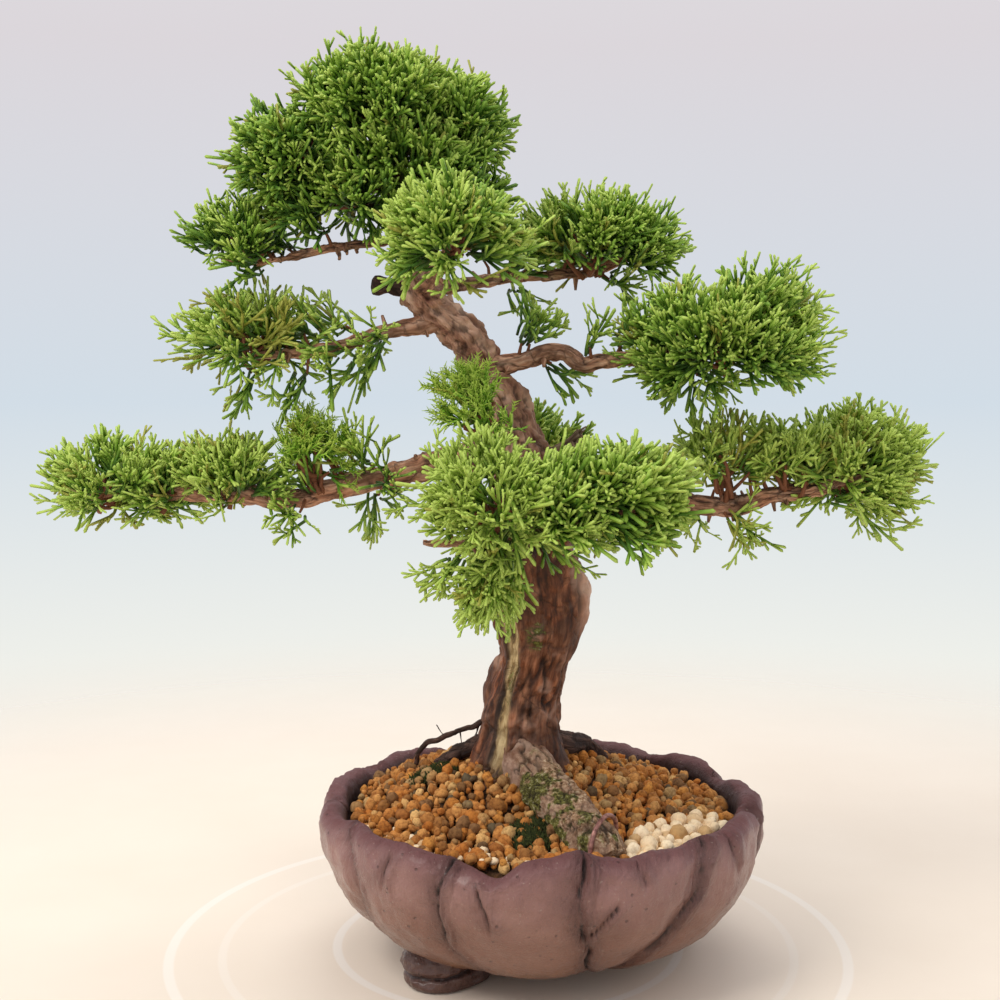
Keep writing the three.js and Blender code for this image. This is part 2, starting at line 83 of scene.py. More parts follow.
def smooth(points, count):
    """Even steps along a centripetal Catmull-Rom curve, and the point number that each step has reached."""
    knots = np.array(points, float)
    knots = np.vstack([2 * knots[0] - knots[1], knots, 2 * knots[-1] - knots[-2]])
    dense, numbers = [], []
    for i in range(1, len(knots) - 2):
        p0, p1, p2, p3 = knots[i - 1:i + 3]
        t1 = np.linalg.norm(p1 - p0) ** 0.5
        t2 = t1 + np.linalg.norm(p2 - p1) ** 0.5
        t3 = t2 + np.linalg.norm(p3 - p2) ** 0.5
        t = np.linspace(t1, t2, 24, endpoint=i == len(knots) - 3)[:, None]
        a1 = (t1 - t) / t1 * p0 + t / t1 * p1
        a2 = (t2 - t) / (t2 - t1) * p1 + (t - t1) / (t2 - t1) * p2
        a3 = (t3 - t) / (t3 - t2) * p2 + (t - t2) / (t3 - t2) * p3
        b1 = (t2 - t) / t2 * a1 + t / t2 * a2
        b2 = (t3 - t) / (t3 - t1) * a2 + (t - t1) / (t3 - t1) * a3
        dense.append((t2 - t) / (t2 - t1) * b1 + (t - t1) / (t2 - t1) * b2)
        numbers.append(i - 1 + ((t - t1) / (t2 - t1))[:, 0])
    dense, numbers = np.vstack(dense), np.concatenate(numbers)
    walked = np.concatenate([[0], np.cumsum(np.linalg.norm(np.diff(dense, axis=0), axis=1))])
    steps = np.linspace(0, walked[-1], count)
    even = np.stack([np.interp(steps, walked, dense[:, k]) for k in range(dense.shape[1])], axis=1)
    return even, np.interp(steps, walked, numbers)


def around_path(path, count, start, fixed=False):
    """Directions square to a path at each step. Fixed keeps the first near the start direction."""
    ahead = unit(np.gradient(path, axis=0))
    side = np.array(start, float)
    first = []
    for direction in ahead:
        side = np.array(start, float) if fixed else side
        side = unit(side - direction * np.dot(side, direction))
        first.append(side)
    first = np.array(first)
    second = np.cross(ahead, first)
    turn = circle(count)[None, :, None]
    return first[:, None] * np.cos(turn) + second[:, None] * np.sin(turn)


# ------------------------------------------------------------------ meshes from rings

def mesh_object(name, points, faces, marks=None, edges=()):
    """A smooth mesh in metres. Its marks are named values at its points: one number each, or three."""
    mesh = bpy.data.meshes.new(name)
    mesh.from_pydata(np.asarray(points).tolist(), list(edges), faces)
    for key, values in (marks or {}).items():
        values = np.asarray(values, float)
        kind, entry = ("FLOAT_VECTOR", "vector") if values.ndim == 2 else ("FLOAT", "value")
        mesh.attributes.new(key, kind, "POINT").data.foreach_set(entry, values.ravel())
    mesh.polygons.foreach_set("use_smooth", [True] * len(mesh.polygons))
    mesh.update()
    return bpy.data.objects.new(name, mesh)


class Piece:
    """Collects rings and loose faces in millimetres, then makes one object in metres."""

    def __init__(self, name):
        self.name = name
        self.points = []
        self.faces = []
        self.marks = {}
        self.count = 0

    def add(self, points, faces, **marks):
        points = np.asarray(points, float).reshape(-1, 3)
        self.points.append(points)
        self.faces += [tuple(int(i) + self.count for i in face) for face in faces]
        for key in {**self.marks, **marks}:
            numbers = (3,) if key == "grain" else ()
            values = marks.get(key, np.zeros((len(points), *numbers)))
            self.marks.setdefault(key, [np.zeros((self.count, *numbers))]).append(values)
        self.count += len(points)

    def add_rings(self, rings, joined_ends=False, **marks):
        """Closed rings of points, skinned one to the next, with a cap on each end unless the ends join."""
        steps, around = rings.shape[:2]
        index = np.arange(steps * around).reshape(steps, around)
        upper = np.roll(index, -1, axis=0) if joined_ends else index[1:]
        lower = index if joined_ends else index[:-1]
        quads = np.stack([lower, np.roll(lower, -1, 1), np.roll(upper, -1, 1), upper], axis=-1)
        faces = quads.reshape(-1, 4).tolist()
        points = rings.reshape(-1, 3)
        marks = {key: np.reshape(v, (-1, 3) if key == "grain" else -1) for key, v in marks.items()}
        if not joined_ends:
            points = np.vstack([points, rings[0].mean(0), rings[-1].mean(0)])
            near, far = steps * around, steps * around + 1
            faces += [(near, index[0, (j + 1) % around], index[0, j]) for j in range(around)]
            faces += [(far, index[-1, j], index[-1, (j + 1) % around]) for j in range(around)]
            marks = {key: np.concatenate([v, v[:1], v[-1:]]) for key, v in marks.items()}
        self.add(points, faces, **marks)

    def build(self, material):
        marks = {key: np.concatenate(parts) for key, parts in self.marks.items()}
        piece = mesh_object(self.name, np.vstack(self.points) * MM + POT_MIDDLE, self.faces, marks)
        piece.data.materials.append(material)
        bpy.context.scene.collection.objects.link(piece)
        return piece


def settle(piece, slot, *nodes):
    """Puts a finished piece on the one body, in place of its CAD nodes. Its slot is not used."""
    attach(piece, "root")
    if nodes:
        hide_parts(*nodes)


# ------------------------------------------------------------------ node trees

def set_inputs(tree, node, values):
    """Links each input to a socket, or sets it to a value."""
    for key, value in values.items():
        if isinstance(value, bpy.types.NodeSocket):
            tree.links.new(value, node.inputs[key])
        else:
            node.inputs[key].default_value = value


def add_node(tree, kind, values=None, **settings):
    node = tree.nodes.new(kind)
    for key, value in settings.items():
        setattr(node, key, value)
    set_inputs(tree, node, values or {})
    return node


def maths(tree, operation, *values):
    return add_node(tree, "ShaderNodeMath", dict(enumerate(values)), operation=operation).outputs[0]


def blend_colours(tree, share, low, high, kind="MIX"):
    node = add_node(tree, "ShaderNodeMix", {0: share, 6: low, 7: high}, data_type="RGBA", blend_type=kind)
    return node.outputs[2]


def laid_over(tree, colour, share, tone, strength=1.0):
    """The colour, with a tone over it where share is high."""
    share = share if strength == 1.0 else maths(tree, "MULTIPLY", share, strength)
    tone = (*tone, 1.0) if isinstance(tone, tuple) else tone
    return blend_colours(tree, share, colour, tone)


def ramp(tree, value, *stops):
    """A colour ramp. A stop's tone is a colour, or one number for a grey."""
    node = add_node(tree, "ShaderNodeValToRGB", {0: value})
    elements = node.color_ramp.elements
    while len(elements) < len(stops):
        elements.new(0.5)
    for element, (place, tone) in zip(elements, stops):
        element.position = place
        element.color = (*tone, 1.0) if isinstance(tone, tuple) else (tone, tone, tone, 1.0)
    return node.outputs[0]


def mark(tree, name, vector=False):
    node = add_node(tree, "ShaderNodeAttribute", attribute_name=name)
    return node.outputs["Vector" if vector else "Fac"]


def noise_value(tree, vector, scale, detail=4.0, roughness=0.55):
    values = {"Vector": vector, "Scale": scale, "Detail": detail, "Roughness": roughness}
    return add_node(tree, "ShaderNodeTexNoise", values).outputs[0]


def stretched(tree, vector, scale):
    return add_node(tree, "ShaderNodeMapping", {"Vector": vector, "Scale": scale}).outputs[0]


def new_material(name, **plain):
    """A material and its Principled shader, with the plain sockets set on the shader itself."""
    material = bpy.data.materials.new(name)
    material.use_nodes = True
    tree = material.node_tree
    shader = tree.nodes["Principled BSDF"]
    for key, value in plain.items():
        shader.inputs[key.replace("_", " ")].default_value = value
    return material, tree, shader


def object_place(tree):
    return add_node(tree, "ShaderNodeTexCoord").outputs["Object"]


def bump(tree, shader, height, strength, depth):
    node = add_node(tree, "ShaderNodeBump", {"Height": height, "Strength": strength, "Distance": depth})
    tree.links.new(node.outputs[0], shader.inputs["Normal"])


def speckled_material(name, speck, tones, gloss=None, relief=None, stretch=(1, 1, 1), **plain):
    """A plain finish whose colour, and where given its roughness and relief, follow one fine noise."""
    material, tree, shader = new_material(name, **plain)
    value = noise_value(tree, stretched(tree, object_place(tree), stretch), *speck)
    tree.links.new(ramp(tree, value, *tones), shader.inputs["Base Color"])
    if gloss:
        tree.links.new(ramp(tree, value, *gloss), shader.inputs["Roughness"])
    if relief:
        bump(tree, shader, value, *relief)
    return material


def bark_group():
    """Long fibres, flakes and fine roughness that follow a limb, from its grain coordinates."""
    tree = bpy.data.node_groups.new("bark_fibres", "ShaderNodeTree")
    for name, kind in (("Grain", "Vector"), ("Fibre scale", "Float"), ("Flake scale", "Float")):
        tree.interface.new_socket(name, in_out="INPUT", socket_type=f"NodeSocket{kind}")
    given = add_node(tree, "NodeGroupInput").outputs
    grain = given["Grain"]
    fibre = noise_value(tree, stretched(tree, grain, (1.0, 1.0, 0.15)), given["Fibre scale"], 5.0, 0.65)
    warp = maths(tree, "MULTIPLY", noise_value(tree, grain, 260.0, 2.0), 0.0035)
    flake_grain = stretched(tree, grain, (1.0, 1.0, 0.42))
    shifted = add_node(tree, "ShaderNodeVectorMath", {0: flake_grain, 1: warp}, operation="ADD").outputs[0]
    cells = add_node(tree, "ShaderNodeTexVoronoi", {"Vector": shifted, "Scale": given["Flake scale"]},
                     feature="DISTANCE_TO_EDGE")
    flake = ramp(tree, cells.outputs[0], (0.0, 0.0), (0.09, 1.0))
    patch = noise_value(tree, stretched(tree, grain, (1.0, 1.0, 0.6)), 105.0, 4.0, 0.6)
    height = maths(tree, "ADD", maths(tree, "MULTIPLY", fibre, 0.75), maths(tree, "MULTIPLY", flake, 0.3))
    results = {"Fibre": fibre, "Flake": flake, "Patch": patch, "Height": height}
    for name in results:
        tree.interface.new_socket(name, in_out="OUTPUT", socket_type="NodeSocketFloat")
    add_node(tree, "NodeGroupOutput", results)
    return tree


BARK_FIBRES = bark_group()


def bark_material(name, dark, middle, pale, fibre_scale=620.0, flake_scale=150.0, rough=0.78):
    """Flaking juniper bark. The marks on the mesh add deadwood, moss, pale bare bark, and painted shade in
    pits, grooves, the cracks between flakes and on shaded sides.
    """
    material, tree, shader = new_material(name, Specular_IOR_Level=0.28)
    grain = mark(tree, "grain", vector=True)
    group = tree.nodes.new("ShaderNodeGroup")
    group.node_tree = BARK_FIBRES
    set_inputs(tree, group, {"Grain": grain, "Fibre scale": fibre_scale, "Flake scale": flake_scale})
    fibre, flake, patch, height = (group.outputs[i] for i in range(4))
    base = ramp(tree, fibre, (0.33, dark), (0.5, middle), (0.68, pale))
    toned = ramp(tree, patch, (0.32, (0.42, 0.33, 0.29)), (0.47, (1, 0.96, 0.93)), (0.66, (1.6, 1.36, 1.22)))
    bare = ramp(tree, patch, (0.32, (0.2, 0.072, 0.042)), (0.45, (0.5, 0.26, 0.165)),
                (0.6, (0.76, 0.49, 0.355)))
    dead = ramp(tree, fibre, (0.34, (0.08, 0.045, 0.02)), (0.46, (0.34, 0.22, 0.09)),
                (0.62, (0.64, 0.48, 0.25)))
    speck = noise_value(tree, grain, 420.0, 3.0, 0.7)
    moss = ramp(tree, speck, (0.4, (0.025, 0.022, 0.008)), (0.55, (0.06, 0.06, 0.012)),
                (0.66, (0.17, 0.17, 0.03)), (0.74, (0.42, 0.4, 0.24)))
    mossy = maths(tree, "MULTIPLY", mark(tree, "mossy"), maths(tree, "MULTIPLY", speck, 2.0))
    colour = blend_colours(tree, 1.0, base, toned, "MULTIPLY")
    for share, tone, strength in (
            # Painted shade in the cracks between the flakes.
            (maths(tree, "SUBTRACT", 1.0, flake), (0.03, 0.015, 0.01), 0.5),
            (mark(tree, "bare"), bare, 1.0),
            (mark(tree, "dead"), dead, 1.0),
            (ramp(tree, mossy, (0.42, 0.0), (0.62, 1.0)), moss, 1.0),
            # Painted shade in pits, grooves and on shaded sides.
            (mark(tree, "hollow"), (0.018, 0.009, 0.006), 1.0)):
        colour = laid_over(tree, colour, share, tone, strength)
    gloss = maths(tree, "MULTIPLY_ADD", fibre, 0.3, rough - 0.15)
    set_inputs(tree, shader, {"Base Color": colour, "Roughness": gloss})
    bump(tree, shader, height, 0.9, 0.0011)
    return material


# ------------------------------------------------------------------ the pot

DRAIN_RADIUS = 9.0
POT_RADIUS = 87.5
POT_PROFILE = [
    (DRAIN_RADIUS, 8), (30, 8), (46, 8.3), (57, 11), (67.5, 17), (76.5, 26.5), (83, 37), (86.2, 47),
    (86.8, 54), (85.8, 59.8), (83, 62.8), (80, 62.5), (77.4, 59), (76.6, 53), (76, 46), (73, 36), (66, 25.5),
    (58, 19), (46, 16.2), (30, 16), (DRAIN_RADIUS, 16),
]
RIM_NUMBER = 10.5  # the profile point where the outside turns into the inside
# Each pressed fold: its angle at some heights, how deep it is, and how sharp its crease is.
FOLDS = [
    ([(8, 206), (25, 212), (38, 217), (51, 216.5), (63, 209)], 2.6, 1.5),
    ([(8, 254), (21, 247), (28, 243), (42, 243), (56, 245), (63, 247)], 2.2, 1.7),
    ([(8, 288), (20, 283), (34, 279.5), (48, 277), (62, 279)], 2.0, 1.9),
    ([(8, 295), (25, 303), (34, 306), (44, 310), (53, 312), (62, 314)], 2.3, 1.6),
    ([(8, 340), (40, 345), (63, 349)], 2.4, 1.6),
    ([(8, 16), (40, 20), (63, 23)], 2.6, 1.6),
    ([(8, 58), (40, 52), (63, 50)], 2.4, 1.5),
    ([(8, 82), (40, 85), (63, 83)], 2.5, 1.6),
    ([(8, 120), (40, 117), (63, 119)], 2.6, 1.5),
    ([(8, 152), (40, 150), (63, 147)], 2.3, 1.6),
    ([(8, 180), (40, 185), (63, 184)], 2.4, 1.5),
]
# Short cracks: the same, over a part of the wall only.
CRACKS = [
    ([(38, 256.5), (46, 255.2), (58, 253)], 0.4, 1.3),
    ([(33, 279.5), (38, 282.5), (46, 286)], 0.5, 1.5),
    ([(54, 293), (61, 291.6)], 0.3, 1.2),
    ([(48, 228), (59, 230)], 0.3, 0.9),
    ([(50, 324), (61, 322)], 0.3, 1.1),
    ([(44, 70), (58, 72)], 0.3, 1.2),
    ([(46, 134), (60, 132)], 0.3, 1.1),
]
# Where the rim dips or swells: angle, height, half-width in degrees.
RIM_WAVES = [
    (258, -5.5, 5), (250, -3.0, 8), (277, 2.2, 6), (290, -0.6, 7), (318, 0.6, 9), (334, 1.6, 7),
    (347, -2.4, 3), (356, 1.2, 6), (215, 1.2, 6), (200, -1.2, 7), (184, -1.4, 4), (172, 1.0, 7),
    (150, -1.5, 4), (134, 0.8, 8), (118, -1.6, 4), (100, 0.7, 7), (85, -1.8, 4), (66, 0.9, 7),
    (52, -1.3, 4), (36, 1.1, 7), (20, -1.9, 4),
]
# Where each foot stands, and its size: angle, distance from the middle, radius.
FEET = [(220, 47.5, 16.8), (10, 46.5, 16), (118, 46.5, 16)]
# A foot is two thumbed layers: its height at each level, and its share of the radius there.
FOOT_HEIGHTS = [0, 0.5, 2.0, 4.2, 5.6, 6.5, 8.0, 11, 14, 17]
FOOT_WIDTHS = [0.84, 0.93, 0.99, 0.97, 0.88, 0.95, 1.02, 0.98, 0.84, 0.6]


def turn_between(angle, other):
    return (angle - other + 180.0) % 360.0 - 180.0


def pot_angles(count):
    """Angles that stand closer together near the folds and cracks."""
    fine = np.linspace(0, 360, 7200, endpoint=False)
    density = np.ones_like(fine)
    for route, _, _ in FOLDS + CRACKS:
        centre = np.mean([angle for _, angle in route])
        density += 2.8 * bell(turn_between(fine, centre), 3.0)
    total = np.cumsum(density)
    return np.interp(np.linspace(0, total[-1], count, endpoint=False), total, fine)


def pot_wall():
    """The bowl's wall as rings, with its folds, cracks, thumbed rim and dents, and marks for its colours and
    its painted shade.
    """
    steps, around = 124, 570
    profile, number = smooth([(r, z, 0) for r, z in POT_PROFILE], steps)
    number = number[:, None]
    angle = np.broadcast_to(pot_angles(around)[None, :], (steps, around))
    radius = np.broadcast_to(profile[:, :1], angle.shape).copy()
    height = np.broadcast_to(profile[:, 1:2], angle.shape).copy()
    outside = 1.0 - smoothstep(number, RIM_NUMBER - 0.8, RIM_NUMBER + 0.6)
    shown = outside * smoothstep(radius, 30, 48)
    rim = smoothstep(height, 51, 62)
    turn = np.radians(angle)
    spot = np.stack([radius * np.cos(turn), radius * np.sin(turn), height], axis=-1)
    wear = field(spot, 7.0, 3, 3)
    crease, pinch, press = (np.zeros(angle.shape) for _ in range(3))
    for i, (route, depth, sharp) in enumerate(FOLDS + CRACKS):
        heights, angles = zip(*route)
        away = np.radians(turn_between(angle, np.interp(height, heights, angles))) * radius
        away = away + 1.3 * field(spot, 10.0, 20 + i, 3)
        if i < len(FOLDS):
            reach, narrow, broad, ripple, dark, close = np.ones(angle.shape), 0.75, 9.0, 0.45, 1.0, 1.0
            step = 1.3 * away / (1.4 + np.abs(away)) * bell(away, 9.0)
        else:
            reach = (smoothstep(height, heights[0] - 3, heights[0] + 2)
                     * (1 - smoothstep(height, heights[-1] - 1, heights[-1] + 3)))
            narrow, broad, ripple, dark, close = 0.45, 2.5, 0.15, 0.6, 0.5
            step = 0.0
        line = np.exp(-(np.abs(away) / narrow) ** 1.3) * reach * np.clip(0.8 + 0.9 * wear, 0, 1.3)
        wrinkle = ripple * bell(away, 6.0) * np.sin(away * 2.4 + 4 * wear) * reach
        lip = 1.15 * bell(away - 2.9, 1.8) * reach
        press += 1.35 * depth * bell(away, broad) * reach + 1.4 * sharp * line - lip - step + wrinkle
        # The crease mark is painted shade in the crease of each fold and crack.
        crease = np.maximum(crease, dark * line)
        pinch = np.maximum(pinch, close * bell(away, 4.6) * reach)
    wave = sum(lift * bell(turn_between(angle, centre), width) for centre, lift, width in RIM_WAVES)
    swell = 2.0 * field(spot, 30.0, 5, 2)
    dents = 0.85 * field(spot, 9.0, 6, 3) + 0.5 * field(spot * (1, 1, 0.35), 4.5, 4, 3) * (0.4 + rim)
    torn = field(spot, 3.4, 7, 3)
    radius += shown * (swell + dents + 0.8 - press) - 0.45 * rim * press * (1 - outside)
    radius += rim * (1.3 * field(spot, 13.0, 8, 2) + 0.8 * torn) * np.where(outside > 0.5, 0.5, 1.0)
    radius = np.minimum(radius, POT_RADIUS + 0.9)
    height += rim * (wave + 0.9 * field(spot, 11.0, 9, 3) + 0.6 * torn - 0.35 * crease)
    rings = np.stack([radius * np.cos(turn), radius * np.sin(turn), height], axis=-1)
    return rings, {
        "crease": crease * (0.25 + 0.75 * shown),
        "rim": rim * (0.12 + 0.88 * smoothstep(number, 8.3, 9.8)),
        "pinch": np.clip(pinch + 0.4 * rim * np.abs(torn), 0, 1) * shown,
        # The inside mark is painted shade on the inside wall, which is also damp.
        "inside": np.broadcast_to(smoothstep(number, RIM_NUMBER + 0.3, RIM_NUMBER + 1.6), angle.shape)}


def pot_foot(piece, angle, away, size):
    """One squashed lump, set into the bowl above it."""
    around = circle(110)
    step = np.linspace(0, len(FOOT_HEIGHTS) - 1, 60)
    height = np.interp(step, range(len(FOOT_HEIGHTS)), FOOT_HEIGHTS)[:, None]
    width = np.interp(step, range(len(FOOT_WIDTHS)), FOOT_WIDTHS)[:, None] * size
    facing = math.radians(angle)
    middle = np.array([away * math.cos(facing), away * math.sin(facing), 0])
    spread = width * (1 + 0.06 * np.sin(2 * around + angle) + 0.05 * np.sin(3 * around + 1))
    rings = np.stack([spread * np.cos(around), spread * np.sin(around),
                      np.broadcast_to(height, spread.shape)], axis=-1) + middle
    above = smoothstep(rings[..., 2], 1.5, 5.0)
    rings[..., 2] += above * (1.5 * np.sin(around - facing) + 0.9 * np.sin(2 * around + 2.0))
    lumps = above * (1.6 * field(rings, 8.0, 11, 3))
    lumps = lumps + 0.5 * field(rings, 3.0, 12, 3) * smoothstep(rings[..., 2], 0.1, 1.5)
    rings[..., :2] += (rings[..., :2] - middle[:2]) / size * lumps[..., None]
    # The seam between the layers gets the crease mark: painted shade in its groove.
    seam = bell(height - 5.4, 0.75) * np.clip(0.8 + field(rings, 5.0, 13, 2), 0, 1)
    piece.add_rings(rings, crease=seam, low=0 * seam + 1, pinch=0 * seam + 0.35)


def clay_material():
    """Unglazed stoneware: mauve-brown slip, browner below, with painted shade in its creases and on its
    inside wall, and a dull sheen.
    """
    material, tree, shader = new_material("clay", Specular_IOR_Level=0.45, Coat_Roughness=0.2)
    place = object_place(tree)
    cloud = noise_value(tree, place, 36.0, 5.0, 0.6)
    smear = noise_value(tree, stretched(tree, place, (1.0, 1.0, 3.0)), 55.0, 5.0, 0.6)
    stain = noise_value(tree, stretched(tree, place, (1.0, 1.0, 0.4)), 130.0, 5.0, 0.7)
    height = add_node(tree, "ShaderNodeSeparateXYZ", {0: place}).outputs[2]
    level = maths(tree, "MULTIPLY", maths(tree, "MULTIPLY_ADD", smear, 0.022, height), 10.0)
    brown = ramp(tree, level, (0.18, 1.0), (0.34, 0.55), (0.6, 0.0))
    upper = ramp(tree, level, (0.46, 0.0), (0.7, 0.6))
    rust = ramp(tree, maths(tree, "MULTIPLY", stain, brown), (0.36, 0.0), (0.56, 1.0))
    purple = blend_colours(tree, cloud, (0.15, 0.055, 0.057, 1.0), (0.33, 0.165, 0.16, 1.0))
    pinch = maths(tree, "MULTIPLY", mark(tree, "pinch"), maths(tree, "MULTIPLY_ADD", stain, 1.8, -0.3))
    dust = ramp(tree, noise_value(tree, place, 900.0, 2.0), (0.67, 0.0), (0.74, 1.0))
    cells = add_node(tree, "ShaderNodeTexVoronoi", {"Vector": place, "Scale": 190.0, "Randomness": 1.0})
    pit = ramp(tree, cells.outputs[0], (0.05, 1.0), (0.12, 0.0))
    # Painted shade: dark in the creases of the folds, the cracks and the feet's seams.
    dark = ramp(tree, mark(tree, "crease"), (0.22, 0.0), (0.7, 1.0))
    colour = ramp(tree, cloud, (0.32, (0.18, 0.078, 0.062)), (0.5, (0.28, 0.136, 0.108)),
                  (0.68, (0.37, 0.2, 0.16)))
    for share, tone, strength in (
            (smear, (0.2, 0.1, 0.065), 0.45),
            (brown, (0.165, 0.064, 0.026), 0.95),
            (rust, (0.3, 0.14, 0.06), 0.5),
            (upper, purple, 1.0),
            (mark(tree, "rim"), (0.12, 0.036, 0.04), 0.8),
            (mark(tree, "low"), (0.085, 0.036, 0.026), 0.9),
            # Painted shade on the inside wall, which is also damp.
            (mark(tree, "inside"), (0.035, 0.018, 0.016), 0.9),
            (pinch, (0.085, 0.031, 0.026), 0.9),
            (dust, (0.5, 0.4, 0.33), 0.3),
            (pit, (0.06, 0.028, 0.022), 0.5),
            (dark, (0.026, 0.012, 0.01), 0.88)):
        colour = laid_over(tree, colour, share, tone, strength)
    lip = maths(tree, "MAXIMUM", mark(tree, "rim"), mark(tree, "inside"))
    dull = ramp(tree, smear, (0.3, 0.27), (0.7, 0.48))
    set_inputs(tree, shader, {
        "Base Color": colour,
        "Coat Weight": maths(tree, "MULTIPLY_ADD", lip, -0.34, 0.36),
        "Roughness": maths(tree, "MULTIPLY_ADD", lip, 0.3, dull)})
    wrinkle = noise_value(tree, stretched(tree, place, (1.0, 1.0, 0.25)), 330.0, 6.0, 0.66)
    lump = noise_value(tree, place, 120.0, 5.0, 0.6)
    grit = noise_value(tree, place, 1300.0, 2.0)
    relief = maths(tree, "MULTIPLY_ADD", grit, 0.14, maths(tree, "MULTIPLY", lump, 0.8))
    ridged = maths(tree, "MULTIPLY", wrinkle, maths(tree, "MULTIPLY_ADD", mark(tree, "pinch"), 1.3, 0.4))
    relief = maths(tree, "ADD", relief, ridged)
    relief = maths(tree, "SUBTRACT", relief, maths(tree, "MULTIPLY", pit, 0.3))
    bump(tree, shader, relief, 0.9, 0.0022)
    return material


def make_pot():
    piece = Piece("pot_bowl")
    rings, marks = pot_wall()
    piece.add_rings(rings, joined_ends=True, **marks)
    for angle, away, size in FEET:
        pot_foot(piece, angle, away, size)
    settle(piece.build(clay_material()), "clay", "pot")


# ------------------------------------------------------------------ soil

SOIL_EDGE = 56.0
SOIL_MOUND = 19.0
SOIL_PROFILE = [(0, 18.6), (30, 18.6), (46, 18.6), (58, 21), (65, 27), (71.5, 37), (73.5, 47), (72.6, 53),
                (70, 55), (60, 56), (48, 56), (36, 56), (24, 56), (12, 56), (4, 56)]
PATCH_CELL = 2.0
PATCH_REACH = 74.0
GRAIN_SHAPES = 7
TRUNK_FOOT = np.array([-8.0, 8.0])
PUMICE_ANGLE = -40.0
PUMICE_AWAY = 67.5
PUMICE_HALF = (29.0, 13.5)


def soil_height(x, y):
    away = np.hypot(x - TRUNK_FOOT[0], y - TRUNK_FOOT[1] - 6) / 62.0
    return SOIL_EDGE + SOIL_MOUND * (1 - smoothstep(away, 0, 1.25))


def in_pumice(x, y):
    turn = math.radians(PUMICE_ANGLE)
    along = x * math.cos(turn) + y * math.sin(turn) - PUMICE_AWAY
    across = -x * math.sin(turn) + y * math.cos(turn)
    return (along / PUMICE_HALF[1]) ** 2 + (across / PUMICE_HALF[0]) ** 2 < 1.0


def make_soil_body():
    """The closed bed under the grains: the bowl's inside, with a rough mound for a top."""
    rows, number = smooth([(r, z, 0) for r, z in SOIL_PROFILE], 90)
    around = circle(120)
    x, y = rows[:, :1] * np.cos(around), rows[:, :1] * np.sin(around)
    z = np.broadcast_to(rows[:, 1:2], x.shape)
    top = smoothstep(number, 6.5, 8.0)[:, None]
    level = soil_height(x, y) - 2.2 + 0.8 * field(np.stack([x, y, z], -1), 5.0, 31, 2)
    piece = Piece("soil_bed_body")
    piece.add_rings(np.stack([x, y, z * (1 - top) + level * top], axis=-1)[1:])
    soil = speckled_material("soil_under_grains", (420.0, 4.0, 0.7),
                             ((0.35, (0.02, 0.01, 0.005)), (0.65, (0.13, 0.055, 0.018))),
                             relief=(1.0, 0.002), Roughness=0.95)
    settle(piece.build(soil), "akadama", "soil_bed")


def grain_material(name, tones, rough, mottle=((0.5, 0.42, 0.35), (1.25, 1.3, 1.35))):
    """Fired clay or pumice grains: each grain has its own tone from its shade mark."""
    material, tree, shader = new_material(name, Specular_IOR_Level=0.3, Roughness=rough)
    speck = noise_value(tree, object_place(tree), 700.0, 4.0, 0.65)
    tone = ramp(tree, mark(tree, "shade"), *tones)
    mottled = ramp(tree, speck, (0.32, mottle[0]), (0.5, 1.0), (0.7, mottle[1]))
    tree.links.new(blend_colours(tree, 1.0, tone, mottled, "MULTIPLY"), shader.inputs["Base Color"])
    bump(tree, shader, speck, 0.7, 0.0007)
    return material


def hidden_collection(name, pieces):
    """Shapes to instance, kept out of the scene itself."""
    collection = bpy.data.collections.new(name)
    for piece in pieces:
        collection.objects.link(piece)
    return collection


def quads_between(rings, around, first=0):
    """Faces that join each ring of points to the next."""
    return [(first + i * around + j, first + i * around + (j + 1) % around,
             first + (i + 1) * around + (j + 1) % around, first + (i + 1) * around + j)
            for i in range(rings - 1) for j in range(around)]


def grain_shapes(name, seed, squash, facets, roughness):
    """A few lumpy grains of about one millimetre across, in metres, with a few dozen faces each."""
    rng = np.random.default_rng(seed)
    around, rows = 8, 6
    points = [(0, 0, -0.5)]
    for row in range(1, rows):
        polar = math.pi * row / rows
        turn = circle(around) + math.pi * (row % 2) / around
        points += [(0.5 * math.sin(polar) * math.cos(t), 0.5 * math.sin(polar) * math.sin(t),
                    -0.5 * math.cos(polar)) for t in turn]
    points.append((0, 0, 0.5))
    end = len(points) - 1
    faces = quads_between(rows - 1, around, 1)
    faces += [(0, 1 + (j + 1) % around, 1 + j) for j in range(around)]
    faces += [(end - around + j, end - around + (j + 1) % around, end) for j in range(around)]
    shapes = []
    for k in range(GRAIN_SHAPES):
        lump = np.array(points)
        lump *= (1 + roughness * field(lump, 0.5, seed + k, 2))[:, None]
        for normal in unit(rng.normal(0, 1, (facets, 3))):
            over = np.maximum(lump @ normal - rng.uniform(0.33, 0.43), 0)
            lump -= 0.85 * over[:, None] * normal
        stretch = np.array([1.0, rng.uniform(0.72, 1.0), rng.uniform(*squash)])
        shapes.append(mesh_object(f"{name}_{k}", lump * stretch * MM, faces))
    return hidden_collection(name, shapes)


def geometry_tree(name, inputs):
    tree = bpy.data.node_groups.new(name, "GeometryNodeTree")
    tree.interface.new_socket("Geometry", in_out="INPUT", socket_type="NodeSocketGeometry")
    for label, kind in inputs:
        tree.interface.new_socket(label, in_out="INPUT", socket_type=f"NodeSocket{kind}")
    tree.interface.new_socket("Geometry", in_out="OUTPUT", socket_type="NodeSocketGeometry")
    return tree, add_node(tree, "NodeGroupInput").outputs


def finish_tree(tree, geometry, material):
    smooth_faces = add_node(tree, "GeometryNodeSetShadeSmooth", {0: geometry})
    painted = add_node(tree, "GeometryNodeSetMaterial", {0: smooth_faces.outputs[0], 2: material})
    end = add_node(tree, "NodeGroupOutput")
    tree.links.new(painted.outputs[0], end.inputs[0])


